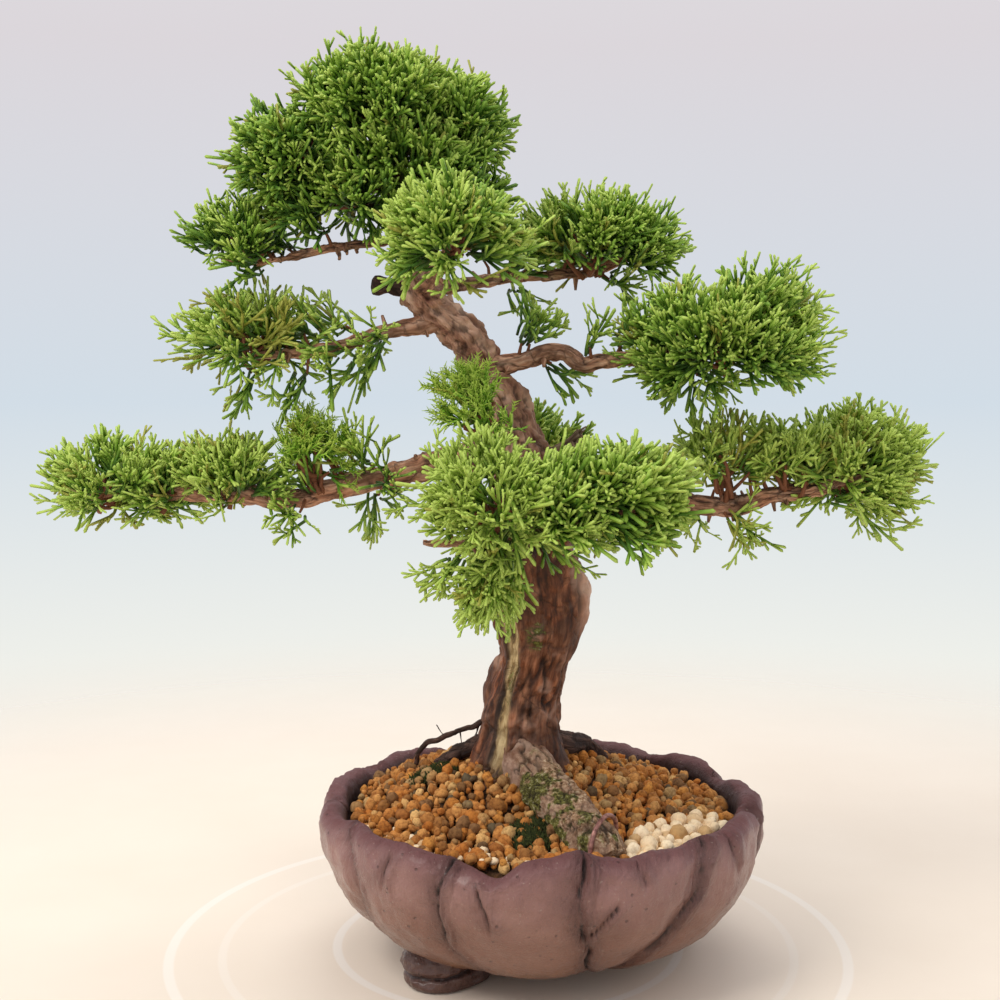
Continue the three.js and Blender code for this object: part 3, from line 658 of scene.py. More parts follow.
def random_value(tree, low, high, seed, kind="FLOAT"):
    first, last, out = {"FLOAT": (2, 3, 1), "INT": (4, 5, 2), "FLOAT_VECTOR": (0, 1, 0)}[kind]
    node = add_node(tree, "FunctionNodeRandomValue", {first: low, last: high, 8: seed}, data_type=kind)
    return node.outputs[out]


def grown(base, tree, values):
    """The tree's result on the base mesh, as a plain mesh object at the origin."""
    modifier = base.modifiers.new("grown", "NODES")
    modifier.node_group = tree
    for label, value in values.items():
        socket = next(item for item in tree.interface.items_tree
                      if item.name == label and item.in_out == "INPUT")
        modifier[socket.identifier] = value
    bpy.context.scene.collection.objects.link(base)
    view = bpy.context.evaluated_depsgraph_get()
    mesh = bpy.data.meshes.new_from_object(base.evaluated_get(view), depsgraph=view)
    name = base.name
    bpy.data.objects.remove(base)
    piece = bpy.data.objects.new(name, mesh)
    bpy.context.scene.collection.objects.link(piece)
    return piece


def scatter_tree():
    """Grains on a surface in two layers: a close one, and a looser one that lies on it."""
    tree, given = geometry_tree("scattered_grains", [
        ("Grains", "Collection"), ("Spacing", "Float"), ("Upper spacing", "Float"), ("Upper lift", "Float"),
        ("Smallest", "Float"), ("Largest", "Float"), ("Seed", "Int"), ("Material", "Material")])
    layers = []
    for number, (spacing, lift) in enumerate((("Spacing", None), ("Upper spacing", "Upper lift"))):
        seed = maths(tree, "ADD", given["Seed"], float(10 * number))
        points = add_node(tree, "GeometryNodeDistributePointsOnFaces", {
            0: given["Geometry"], 2: given[spacing], 3: 900000.0, 6: seed}, distribute_method="POISSON")
        where = points.outputs[0]
        if lift:
            offset = add_node(tree, "ShaderNodeCombineXYZ", {2: given[lift]})
            moved = add_node(tree, "GeometryNodeSetPosition", {0: where})
            tree.links.new(offset.outputs[0], moved.inputs["Offset"])
            where = moved.outputs[0]
        shapes = add_node(tree, "GeometryNodeCollectionInfo", {0: given["Grains"], 1: True, 2: True})
        turned = random_value(tree, (0, 0, 0), (6.28, 6.28, 6.28), 1 + number, "FLOAT_VECTOR")
        rotation = add_node(tree, "FunctionNodeEulerToRotation", {0: turned})
        size = random_value(tree, 0.0, 1.0, 3 + number)
        skewed = maths(tree, "POWER", size, 1.7)
        scale = add_node(tree, "ShaderNodeMapRange", {0: skewed, 3: given["Smallest"], 4: given["Largest"]})
        placed = add_node(tree, "GeometryNodeInstanceOnPoints", {
            0: where, 2: shapes.outputs[0], 3: True,
            4: random_value(tree, 0, GRAIN_SHAPES - 1, 5 + number, "INT"),
            5: rotation.outputs[0], 6: scale.outputs[0]})
        shaded = add_node(tree, "GeometryNodeStoreNamedAttribute", {
            0: placed.outputs[0], 2: "shade", 3: random_value(tree, 0.0, 1.0, 7 + number)},
            data_type="FLOAT", domain="INSTANCE")
        layers.append(shaded.outputs[0])
    joined = add_node(tree, "GeometryNodeJoinGeometry")
    for layer in layers:
        tree.links.new(layer, joined.inputs[0])
    real = add_node(tree, "GeometryNodeRealizeInstances", {0: joined.outputs[0]})
    finish_tree(tree, real.outputs[0], given["Material"])
    return tree


def soil_patch(name, keep, lift):
    """The part of the soil's top where keep(x, y) holds, as small faces to scatter grains on."""
    steps = np.arange(-PATCH_REACH, PATCH_REACH + PATCH_CELL, PATCH_CELL)
    index, points, faces = {}, [], []

    def corner(i, j):
        if (i, j) not in index:
            index[(i, j)] = len(points)
            points.append((steps[i], steps[j], soil_height(steps[i], steps[j]) + lift))
        return index[(i, j)]

    for i in range(len(steps) - 1):
        for j in range(len(steps) - 1):
            x, y = steps[i] + PATCH_CELL / 2, steps[j] + PATCH_CELL / 2
            if math.hypot(x, y) < PATCH_REACH - 1.2 and keep(x, y):
                faces.append((corner(i, j), corner(i + 1, j), corner(i + 1, j + 1), corner(i, j + 1)))
    return mesh_object(name, np.array(points) * MM + POT_MIDDLE, faces)


AKADAMA_TONES = ((0.0, (0.56, 0.24, 0.05)), (0.16, (0.44, 0.145, 0.024)), (0.34, (0.6, 0.28, 0.08)),
                 (0.5, (0.34, 0.12, 0.026)), (0.6, (0.66, 0.37, 0.13)), (0.7, (0.2, 0.1, 0.04)),
                 (0.82, (0.44, 0.165, 0.03)), (0.92, (0.085, 0.062, 0.035)), (1.0, (0.78, 0.46, 0.17)))
PUMICE_TONES = ((0.0, (0.84, 0.62, 0.38)), (0.5, (0.97, 0.8, 0.57)), (0.8, (0.88, 0.67, 0.43)),
                (1.0, (0.5, 0.28, 0.1)))


def make_grains(blockers):
    """Akadama over the whole bed, pumice in its patch, and some stray pumice along the front rim."""
    tree = scatter_tree()
    akadama = grain_material("akadama", AKADAMA_TONES, 0.9)
    pumice = grain_material("pumice", PUMICE_TONES, 0.92, ((0.82, 0.78, 0.72), (1.08, 1.08, 1.08)))
    rough_shapes = grain_shapes("akadama_shape", 41, (0.62, 0.92), 7, 0.3)
    round_shapes = grain_shapes("pumice_shape", 61, (0.75, 0.95), 3, 0.1)

    def clear(x, y):
        return all((x - bx) ** 2 + (y - by) ** 2 > br ** 2 for bx, by, br in blockers)

    def in_bed(x, y):
        return clear(x, y) and not in_pumice(x, y)

    def in_patch(x, y):
        return clear(x, y) and in_pumice(x, y)

    def astray(x, y):
        angle = math.degrees(math.atan2(y, x)) % 360
        return clear(x, y) and math.hypot(x, y) > 60 and 205 < angle < 280 and (x * 7 + y * 3) % 11 < 3

    # Each layer: where it lies, its height over the soil, its spacing, that of the grains on top and
    # their height, its smallest and largest grain, and its seed.
    for name, keep, lift, spacing, upper_spacing, upper_lift, smallest, largest, seed in (
            ("akadama_grains", in_bed, 0.7, 3.3, 5.4, 1.9, 3.2, 7.6, 5),
            ("pumice_grains", in_patch, 0.8, 4.3, 5.8, 2.6, 5.2, 8.2, 9),
            ("stray_pumice", astray, 1.2, 6.0, 30.0, 0.8, 3.2, 5.4, 3)):
        baked = name == "akadama_grains"
        piece = grown(soil_patch(name, keep, lift), tree, {
            "Grains": rough_shapes if baked else round_shapes, "Spacing": spacing * MM,
            "Upper spacing": upper_spacing * MM, "Upper lift": upper_lift * MM, "Smallest": smallest,
            "Largest": largest, "Seed": seed, "Material": akadama if baked else pumice})
        nodes = ["pumice_patch"] if name == "pumice_grains" else []
        settle(piece, "akadama" if baked else "pumice", *nodes)


# ------------------------------------------------------------------ wood

SOIL_TOP = 72.0
TRUNK_HEIGHT = 231.0
TRUNK_THICK = 32.0
# Trunk centreline: x, y from its foot, share of its height, share of its base thickness.
TRUNK_ROUTE = [
    (0, 0, -0.06, 1.4), (0, 0, 0.0, 1.12), (0, 0, 0.06, 0.98), (1, 0, 0.13, 0.95), (5, -1, 0.19, 0.96),
    (7, -2, 0.255, 1.02), (5, -3, 0.35, 1.08), (5, -3, 0.43, 0.98), (3, -2, 0.5, 0.82), (-1, 0, 0.55, 0.62),
    (-5, 1, 0.61, 0.48), (-12, 2, 0.67, 0.44), (-22, 1, 0.74, 0.44), (-38, 0, 0.8, 0.41),
    (-42, 0, 0.83, 0.38), (-41, 2, 0.885, 0.32), (-45, 2, 0.945, 0.3), (-51, 0, 1.0, 0.22),
    (-53, -4, 1.07, 0.16), (-53, -7, 1.13, 0.12),
]
# Directions in degrees in which the trunk's foot swells, and how far, and in which it is fluted.
ROOT_FLARES = ((285, 3.5), (188, 5.0), (36, 5.0), (232, 3.0), (335, 4.5), (100, 4.0), (140, 3.0))
ROOT_FLUTES = (210, 258, 310, 5, 70, 120)
# A branch leaves the trunk at a share of its height, with its thickness there and at its end. Its points
# are measured from there.
BRANCHES = {
    "left_low": (0.502, (11.5, 4), [(-18, -2, 8), (-34, -4, 5), (-50, -6, 1), (-69, -9, -3), (-88, -11, -8),
                                  (-111, -11, -6), (-135, -9, -7), (-159, -6, -6), (-170, -6, -7)]),
    "right_low": (0.463, (10.5, 4), [(31, 0, -1), (53, -1, 0), (66, -1, -2), (80, -1, -3), (94, 0, 1),
                                   (114, 2, 4), (134, 4, 9), (142, 6, 12)]),
    "left_mid": (0.77, (7, 2.2), [(-10, -4, -3), (-21, -7, -5), (-31, -9, -8), (-41, -11, -11),
                                  (-56, -12, -14), (-71, -11, -14), (-80, -9, -15)]),
    "right_mid": (0.688, (7.6, 3), [(13, -5, 2), (24, -8, 5), (32, -10, 5), (38, -12, 1), (45, -14, 2),
                                  (54, -15, 3), (70, -18, 4), (86, -20, 6), (108, -20, 8)]),
    "left_upper": (0.905, (4, 1.6), [(-10, -5, -2), (-17, -6, -3), (-36, -8, -6), (-53, -10, -10),
                                   (-66, -10, -10), (-73, -10, -9)]),
    "right_upper": (0.823, (6.4, 2.6), [(7, 6, -1), (22, 17, 2), (39, 27, 5), (54, 32, 6), (71, 34, 7),
                                      (84, 34, 12), (92, 34, 14)]),
    "front_upper": (0.812, (5, 2.4), [(6, -18, 4), (10, -36, 9), (14, -50, 12), (15, -58, 15)]),
    "front_low_right": (0.466, (6, 1.6), [(2, -26, -4), (4, -46, -4), (11, -61, -3), (25, -68, 0),
                                        (39, -68, 3)]),
    "front_low_left": (0.41, (6, 1.8), [(-7, -31, 4), (-16, -50, 4), (-28, -58, 2), (-40, -61, 2)]),
    "back_low": (0.508, (7, 2.6), [(-3, 22, 1), (-3, 42, -1), (-1, 60, -2), (5, 74, 0)]),
    "crown_left": (0.972, (4.4, 2), [(-8, -7, 3), (-17, -12, 12), (-28, -14, 16), (-41, -14, 14)]),
    "crown_right": (0.968, (4.6, 2.2), [(11, 1, 9), (21, 1, 18), (28, -1, 29), (32, -3, 37)]),
    "sprig": (0.56, (3, 1.4), [(-10, -26, 7), (-15, -32, 13), (-21, -35, 21)]),
}
STUBS = {
    "stub_cut": (0.815, (8, 5.6), [(-11, -3, 2), (-17, -4, 3)]),
    "stub_pale": (0.53, (5.2, 3.2), [(15, -8, 5), (22, -12, 11)]),
    "stub_dark": (0.45, (4, 2), [(22, -20, 10), (30, -26, 20), (34, -28, 28)]),
}
# The cut stub swells at its end where its bark has healed: share of its length, radius.
CUT_STUB_RADII = ((0, 4.8), (0.3, 3.6), (0.6, 3.3), (0.85, 3.9), (0.95, 3.2), (1, 1.2))
# Thickness along each root, and its points from the trunk's foot.
ROOTS = {
    "root_front": ([22, 20, 18.5, 17.5, 16.5, 15], [(0, 0, 2), (4, -15, 1), (11, -31, -3), (20, -50, -8.5),
                                                   (28, -65, -12.5), (31, -71, -17)]),
    "root_left": ([9.5, 8, 6.5, 5], [(-2, 0, 12), (-15, 2, 8), (-24, 4, 4), (-33, 8, -3)]),
    "root_right": ([12, 10, 8, 6], [(2, 2, 12), (17, 10, 6), (26, 20, 3), (35, 28, -5)]),
    "aerial_root": ([2.8, 2.4, 2.2, 2.2, 2.2, 2.0], [(-5, 3, 22), (-17, 5, 15), (-25, 7, 12), (-34, 11, 7),
                                                    (-40, 13, 4), (-43, 15, -4)]),
}
WIRE_RADIUS = 0.85
TIE_WIRE = [(34, -58, -13), (33.5, -61, -4), (30, -67, -0.5), (25.5, -73, -4), (23, -76, -15)]

trunk_points = [(TRUNK_FOOT[0] + x, TRUNK_FOOT[1] + y, SOIL_TOP + share * TRUNK_HEIGHT)
                for x, y, share, _ in TRUNK_ROUTE]
trunk_path, trunk_number = smooth(trunk_points, 440)


def on_trunk(share):
    height = SOIL_TOP + share * TRUNK_HEIGHT
    return trunk_path[np.argmin(np.abs(trunk_path[:, 2] - height))]


def route(start, steps):
    return [start] + [start + np.array(step) for step in steps]


BRANCH_ROUTES = {name: route(on_trunk(at), steps) for name, (at, _, steps) in BRANCHES.items()}
FOOT_POINT = np.array([TRUNK_FOOT[0], TRUNK_FOOT[1], SOIL_TOP])


def from_foot(steps):
    return [FOOT_POINT + np.array(step) for step in steps]


def wandered(path, size, seed, amount):
    return path + amount * np.stack([field(path, size, seed + k, 2) for k in range(3)], -1)


def limb_rings(path, radius, around, seed, lumps, fibre, start=(0, 0, 1), fixed=False, knots=0,
               groove=(0.6, 4.2, 0.2), flakes=0.0):
    """Rings of a woody limb with lumps, fibres, grooves, flakes and knots, and the marks its bark needs."""
    steps = len(path)
    turn = circle(around)
    out = around_path(path, around, start, fixed)
    walked = np.concatenate([[0], np.cumsum(np.linalg.norm(np.diff(path, axis=0), axis=1))])
    wide = float(np.mean(radius))
    grain = np.stack([np.broadcast_to(np.cos(turn) * wide, (steps, around)),
                      np.broadcast_to(np.sin(turn) * wide, (steps, around)),
                      np.broadcast_to(walked[:, None], (steps, around))], axis=-1)
    ridge = 1 - 2 * np.abs(field(grain * (1, 1, 0.13), 3.2, seed, 3))
    swell = field(grain * (1, 1, 0.6), 11.0, seed + 1, 3)
    knob = np.zeros((steps, around))
    hollow = np.zeros((steps, around))
    rng = np.random.default_rng(seed)
    for _ in range(knots):
        place, side = rng.uniform(0.05, 0.9) * walked[-1], rng.uniform(0, 2 * math.pi)
        size = rng.uniform(0.5, 0.9) * wide
        across = np.radians(np.abs(turn_between(np.degrees(turn), math.degrees(side)))) * wide
        reach = (across[None, :] ** 2 + (walked[:, None] - place) ** 2) / size ** 2
        knob += 0.32 * wide * np.exp(-reach) - 0.3 * wide * np.exp(-reach * 9)
        hollow = np.maximum(hollow, 0.8 * np.exp(-reach * 9))
    depth, size, squeeze = groove
    line = field(grain * (1, 1, squeeze), size, seed + 2, 2) + 0.035 * field(grain, 9.0, seed + 5, 2)
    cleft = bell(line, 0.09) * smoothstep(field(grain * (1, 1, 0.5), 8.0, seed + 3, 2), -0.35, 0.25)
    flaked = field(grain * (1, 1, 0.55), 3.4, seed + 4, 2)
    flaked = smoothstep(flaked, -0.08, 0.08) + 0.5 * smoothstep(flaked, 0.2, 0.3)
    far = np.asarray(radius)[:, None] * (1 + lumps * swell) + fibre * ridge * (0.5 + 0.5 * swell) + knob
    far += flakes * (flaked - 0.6) - depth * cleft
    # Painted shade in the knots' pits, the grooves and the gaps between flakes.
    hollow = np.maximum(hollow, 0.8 * cleft) + 0.3 * flakes * (1 - np.clip(flaked, 0, 1))
    return path[:, None] + out * far[..., None], {"grain": grain * MM, "hollow": np.clip(hollow, 0, 1)}, out


def add_limb(piece, path, radius, around, seed, **options):
    rings, marks, _ = limb_rings(path, radius, around, seed, **options)
    piece.add_rings(rings, **marks)


def add_sliver(piece, points, count, radii, seed, lumps, fibre):
    """A short thin limb: a spur, a splinter or a root thread."""
    path, _ = smooth(points, count)
    add_limb(piece, path, np.linspace(*radii, count), count, seed, lumps=lumps, fibre=fibre)


TRUNK_BARK = bark_material("trunk_bark", (0.034, 0.012, 0.006), (0.15, 0.052, 0.021), (0.32, 0.145, 0.075),
                           rough=0.6)
BRANCH_BARK = bark_material("branch_bark", (0.1, 0.038, 0.02), (0.43, 0.228, 0.142), (0.7, 0.46, 0.33),
                            560.0, 190.0)
DARK_ROOT = bark_material("dark_root_bark", (0.02, 0.011, 0.008), (0.06, 0.032, 0.024), (0.14, 0.08, 0.06),
                          700.0, 260.0)
DEAD_WOOD = bark_material("dead_wood", (0.07, 0.045, 0.03), (0.24, 0.17, 0.11), (0.46, 0.37, 0.27),
                          500.0, 120.0, 0.85)


def make_trunk():
    """The trunk, with its flared foot, deadwood strip, burl, knots, a mossy dent, and painted shade in its
    pits and grooves and on its shaded lower sides.
    """
    shares = [share for _, _, _, share in TRUNK_ROUTE]
    radius = np.interp(trunk_number, range(len(shares)), shares) * TRUNK_THICK / 2
    around = 150
    rings, marks, out = limb_rings(trunk_path, radius, around, 3, 0.075, 0.5, start=(1, 0, 0), fixed=True,
                                   knots=9, groove=(1.5, 6.5, 0.16), flakes=0.55)
    angle = np.broadcast_to(np.degrees(circle(around))[None, :], rings.shape[:2])
    height = np.broadcast_to(trunk_path[:, 2:3], rings.shape[:2])

    def facing(direction, width):
        return bell(turn_between(angle, direction), width)

    def spot(direction, width, level, tall):
        return facing(direction, width) * bell(height - level, tall)

    burl, under = spot(352, 38.0, 139, 12.0), spot(345, 40.0, 113, 11.0)
    knot, scar = spot(296, 24.0, 139, 8.0), spot(283, 20.0, 96, 4.0)
    strip_angle = np.interp(height[:, 0], [74, 100, 120, 145, 170], [238, 241, 234, 222, 215])[:, None]
    across = turn_between(angle, strip_angle)
    tall = smoothstep(height, 68, 80) * (1 - smoothstep(height, 168, 182))
    strip = np.exp(-(across / 11.0) ** 4) * tall
    upper = smoothstep(height, 160, 186)
    rough = field(rings, 3.4, 12, 3)
    bulge = (sum(lift * facing(direction, 17.0) for direction, lift in ROOT_FLARES)
             - sum(2.2 * facing(direction, 9.0) for direction in ROOT_FLUTES))
    bulge *= np.exp(-np.maximum(height - SOIL_TOP + 4, 0) / 9.0)
    bulge += 4.2 * burl - 2.0 * under
    bulge += tall * (bell(across - 15, 4.0) + 0.3 * bell(across + 15, 5.0)) - 1.7 * strip
    bulge += facing(190, 42.0) * (1.5 * bell(height - 132, 9.0) - 4.4 * bell(height - 106, 13.0))
    bulge += knot * (1.3 * rough - 0.8) + scar * (1.2 * rough + 0.6)
    bulge += upper * (1.15 * rough + 2.2 * np.maximum(field(rings, 6.0, 15, 2), 0))
    rings += out * bulge[..., None]
    blotch = field(rings, 9.0, 14, 3)
    # Painted shade: the pits and grooves, the knot, the scar, the edge of the deadwood strip, the low spots
    # of the rough upper trunk and the shaded sides of the lower trunk.
    hollow = np.clip(marks["hollow"] + 0.75 * tall * bell(across + 13, 3.0)
                     + knot * np.clip(0.55 + 1.2 * blotch, 0, 1)
                     + 0.5 * scar * np.clip(0.3 + rough, 0, 1), 0, 0.92)
    shaded = np.maximum(facing(330, 30.0) * (1 - smoothstep(height, 78, 104)),
                        facing(222, 16.0) * (1 - smoothstep(height, 76, 96)))
    hollow = np.maximum(hollow, 0.72 * shaded * np.clip(0.8 + 0.7 * blotch, 0, 1))
    hollow *= 1 - 0.45 * smoothstep(height, 170, 210)
    hollow = np.maximum(hollow, 0.6 * upper * smoothstep(-rough, 0.16, 0.44))
    moss = np.maximum.reduce([
        0.62 * spot(266, 22.0, 128, 9.0),
        0.5 * strip * bell(height - 104, 14.0),
        0.8 * facing(275, 40.0) * (1 - smoothstep(height, 72, 84))])
    bare = np.maximum.reduce([
        burl * smoothstep(turn_between(angle, 330), -12, 10),
        smoothstep(height, 168, 205) * (0.55 + 0.45 * smoothstep(blotch, -0.3, 0.3)),
        0.4 * smoothstep(blotch, 0.15, 0.6) * smoothstep(height, 80, 100),
        0.7 * spot(280, 22.0, 88, 9.0) * np.clip(0.5 + rough, 0, 1)])
    piece = Piece("trunk_wood")
    piece.add_rings(rings, grain=marks["grain"], hollow=hollow, dead=np.clip(strip * 1.2, 0, 1),
                    mossy=np.clip(moss, 0, 1), bare=np.clip(bare, 0, 1))
    settle(piece.build(TRUNK_BARK), "bark", "trunk")


def swollen_taper(thick, count, collar=0.28):
    """Radius along a branch: a collar where it joins, then an even taper."""
    share = np.linspace(0, 1, count)
    even = np.interp(share, [0, 1], thick) / 2
    return even * (1 + collar * np.exp(-(share / 0.06) ** 2))


def make_branches():
    for i, (name, (_, thick, _)) in enumerate(BRANCHES.items()):
        length = np.sum(np.linalg.norm(np.diff(BRANCH_ROUTES[name], axis=0), axis=1))
        steps = int(max(40, length * 1.1))
        path, _ = smooth(BRANCH_ROUTES[name], steps)
        path = wandered(path, 14.0, 50 + i, 0.9 * smoothstep(np.arange(steps), 4, 20)[:, None])
        piece = Piece(f"branch_wood_{name}")
        add_limb(piece, path, swollen_taper(thick, steps), 44, 70 + i, lumps=0.16, fibre=0.28,
                 knots=int(length / 9), groove=(0.45, 3.2, 0.3), flakes=0.38)
        rng = np.random.default_rng(400 + i)
        for _ in range(int(length / 16)):
            at = int(rng.uniform(0.1, 0.8) * steps)
            away = unit(np.cross(path[at + 1] - path[at], rng.normal(0, 1, 3)))
            spur = [path[at], path[at] + away * 3.5, path[at] + away * rng.uniform(5, 7.5)]
            add_sliver(piece, spur, 9, (1.3, 0.55), 440 + i, 0.3, 0.15)
        settle(piece.build(BRANCH_BARK), "bark", f"branch_{name}")


def make_stubs():
    steps = 46
    for i, (name, (at, thick, points)) in enumerate(STUBS.items()):
        path, _ = smooth(route(on_trunk(at), points), steps)
        radius = swollen_taper(thick, steps, 0.5)
        if name == "stub_cut":
            radius = np.interp(np.linspace(0, 1, steps), *zip(*CUT_STUB_RADII))
        piece = Piece(f"{name}_wood")
        add_limb(piece, path, radius, 36, 110 + i, lumps=0.26, fibre=0.45, knots=2, flakes=0.3)
        if name == "stub_pale":
            rng = np.random.default_rng(5)
            for k in range(7):
                start = path[30 + 2 * k]
                away = unit(np.array([1.0, -0.5, 0.5]) + rng.normal(0, 0.5, 3))
                end = start + away * rng.uniform(6, 9) + np.array([0, 0, rng.uniform(-1.5, 1.5)])
                add_sliver(piece, [start, start + away * 3.5, end], 8, (0.8, 0.25), 130 + k, 0.2, 0.1)
        settle(piece.build(DARK_ROOT if name == "stub_cut" else DEAD_WOOD), "deadwood", name)


def make_roots():
    for i, (name, (thick, steps)) in enumerate(ROOTS.items()):
        front, arched = name == "root_front", name == "aerial_root"
        path, number = smooth(from_foot(steps), 150 if front else 70)
        radius = np.interp(number, range(len(thick)), thick) / 2
        piece = Piece(f"{name}_wood")
        if arched:
            path = wandered(path, 5.0, 90, 0.7)
            add_limb(piece, path, radius, 12, 140 + i, lumps=0.25, fibre=0.1, groove=(0.0, 4.0, 0.5))
            for k, (start, side) in enumerate(((18, (-2, 1, -7)), (30, (1, -2, -6)), (42, (-3, 0, 5)))):
                thread = [path[start], path[start] + np.array(side) * 0.5, path[start] + np.array(side)]
                add_sliver(piece, thread, 8, (0.6, 0.3), 160 + k, 0.2, 0.05)
        else:
            rings, marks, _ = limb_rings(path, radius, 110 if front else 36, 140 + i, 0.13, 0.35,
                                         knots=6 if front else 3, groove=(0.8, 4.0, 0.5), flakes=0.4)
            if front:
                patch = field(rings, 7.0, 150 + i, 3)
                lee = np.sum((rings - path[:, None]) * np.array([0.9, 0, -0.25]), axis=-1)
                along = np.linspace(0, 1, len(path))[:, None]
                mossy = np.clip(0.16 + 0.55 * np.clip(-lee / 9.0, -1, 1) + 0.85 * patch, 0, 1)
                marks["mossy"] = mossy * smoothstep(along, 0.12, 0.34)
                bare = 1 - smoothstep(along, 0.16, 0.36) + 0.5 * smoothstep(-patch, 0.1, 0.4)
                marks["bare"] = np.clip(bare, 0, 1)
            piece.add_rings(rings, **marks)
        settle(piece.build(lichen_root_material() if front else DARK_ROOT), "bark", name)


def lichen_root_material():
    """Old root bark, speckled with grey lichen, black algae and green moss."""
    material, tree, shader = new_material("root_bark", Specular_IOR_Level=0.25, Roughness=0.9)
    place = object_place(tree)
    fine = noise_value(tree, place, 620.0, 5.0, 0.75)
    coarse = noise_value(tree, place, 170.0, 4.0, 0.6)
    colour = ramp(tree, fine, (0.34, (0.07, 0.036, 0.018)), (0.45, (0.32, 0.17, 0.085)),
                  (0.56, (0.56, 0.37, 0.23)), (0.68, (0.84, 0.7, 0.51)))
    young_bark = ramp(tree, coarse, (0.35, (0.26, 0.125, 0.075)), (0.6, (0.52, 0.34, 0.25)))
    algae = ramp(tree, fine, (0.36, (0.02, 0.018, 0.007)), (0.48, (0.09, 0.08, 0.018)),
                 (0.58, (0.24, 0.22, 0.05)), (0.7, (0.6, 0.56, 0.4)))
    grown_over = maths(tree, "MULTIPLY", mark(tree, "mossy"), maths(tree, "MULTIPLY_ADD", coarse, 3.2, -0.6))
    for share, tone in (
            (mark(tree, "bare"), young_bark),
            (ramp(tree, grown_over, (0.3, 0.0), (0.5, 1.0)), algae),
            # Painted shade in the root's pits and grooves.
            (mark(tree, "hollow"), (0.018, 0.012, 0.008))):
        colour = laid_over(tree, colour, share, tone)
    tree.links.new(colour, shader.inputs["Base Color"])
    bump(tree, shader, fine, 1.0, 0.0016)
    return material


# ------------------------------------------------------------------ foliage

LEAF_TONES = ((0.0, (0.012, 0.03, 0.006)), (0.36, (0.032, 0.088, 0.012)), (0.62, (0.085, 0.195, 0.02)),
              (0.84, (0.24, 0.4, 0.04)), (1.0, (0.46, 0.6, 0.11)))
NEEDLE_TONES = ((0.0, (0.018, 0.05, 0.006)), (0.38, (0.05, 0.145, 0.01)), (0.66, (0.135, 0.31, 0.02)),
                (0.86, (0.28, 0.49, 0.04)), (1.0, (0.5, 0.66, 0.1)))
CORD_SIDES = 3
SPRIG_SHAPES = 8
SCALE_SPACING = 4.6
NEEDLE_SPACING = 2.8
SCALE_LEAN = 0.52
NEEDLE_LEAN = 0.62
FIRST_SPRIG = 0.18


def leaf_material(name, lift, tones):
    """Scale leaves: yellow-green tips, a few bronzed or yellowed cords, and deep green towards the pad's
    heart as painted shade, browner there like old leaves.
    """
    material, tree, shader = new_material(name, Specular_IOR_Level=0.32, Roughness=0.5)
    place = object_place(tree)
    tip, tint, depth = mark(tree, "tip"), mark(tree, "tint"), mark(tree, "depth")
    cloud = noise_value(tree, place, 45.0, 3.0)
    value = lift - 0.09
    # The depth term is painted shade: the cords are darker towards the pad's heart.
    for part, weight in ((tip, 0.5), (tint, 0.26), (depth, 0.37), (cloud, 0.22)):
        value = maths(tree, "MULTIPLY_ADD", part, weight, value)
    colour = ramp(tree, value, *tones)
    colour = laid_over(tree, colour, ramp(tree, tint, (0.9, 0.0), (0.96, 1.0)), (0.3, 0.2, 0.03), 0.55)
    # Towards the heart the cords turn brown, as old leaves do, and darker as painted shade.
    colour = laid_over(tree, colour, ramp(tree, depth, (0.0, 1.0), (0.3, 0.0)), (0.11, 0.045, 0.012), 0.5)
    tree.links.new(colour, shader.inputs["Base Color"])
    cells = add_node(tree, "ShaderNodeTexVoronoi", {"Vector": place, "Scale": 950.0})
    bump(tree, shader, cells.outputs[0], 0.5, 0.0005)
    return material


def cord(points, radii):
    """A thin tapered cord along a few points, closed at its tip and at its root."""
    points = np.array(points, float)
    rings = points[:, None] + np.asarray(radii)[:, None, None] * around_path(points, CORD_SIDES, (0, 1, 0))
    tip = points[-1] + unit(points[-1] - points[-2]) * radii[-1]
    last = (len(points) - 1) * CORD_SIDES
    faces = quads_between(len(points), CORD_SIDES)
    faces += [(last + j, last + (j + 1) % CORD_SIDES, last + CORD_SIDES) for j in range(CORD_SIDES)]
    faces.append(tuple(range(CORD_SIDES))[::-1])
    return np.vstack([rings.reshape(-1, 3), tip]), faces


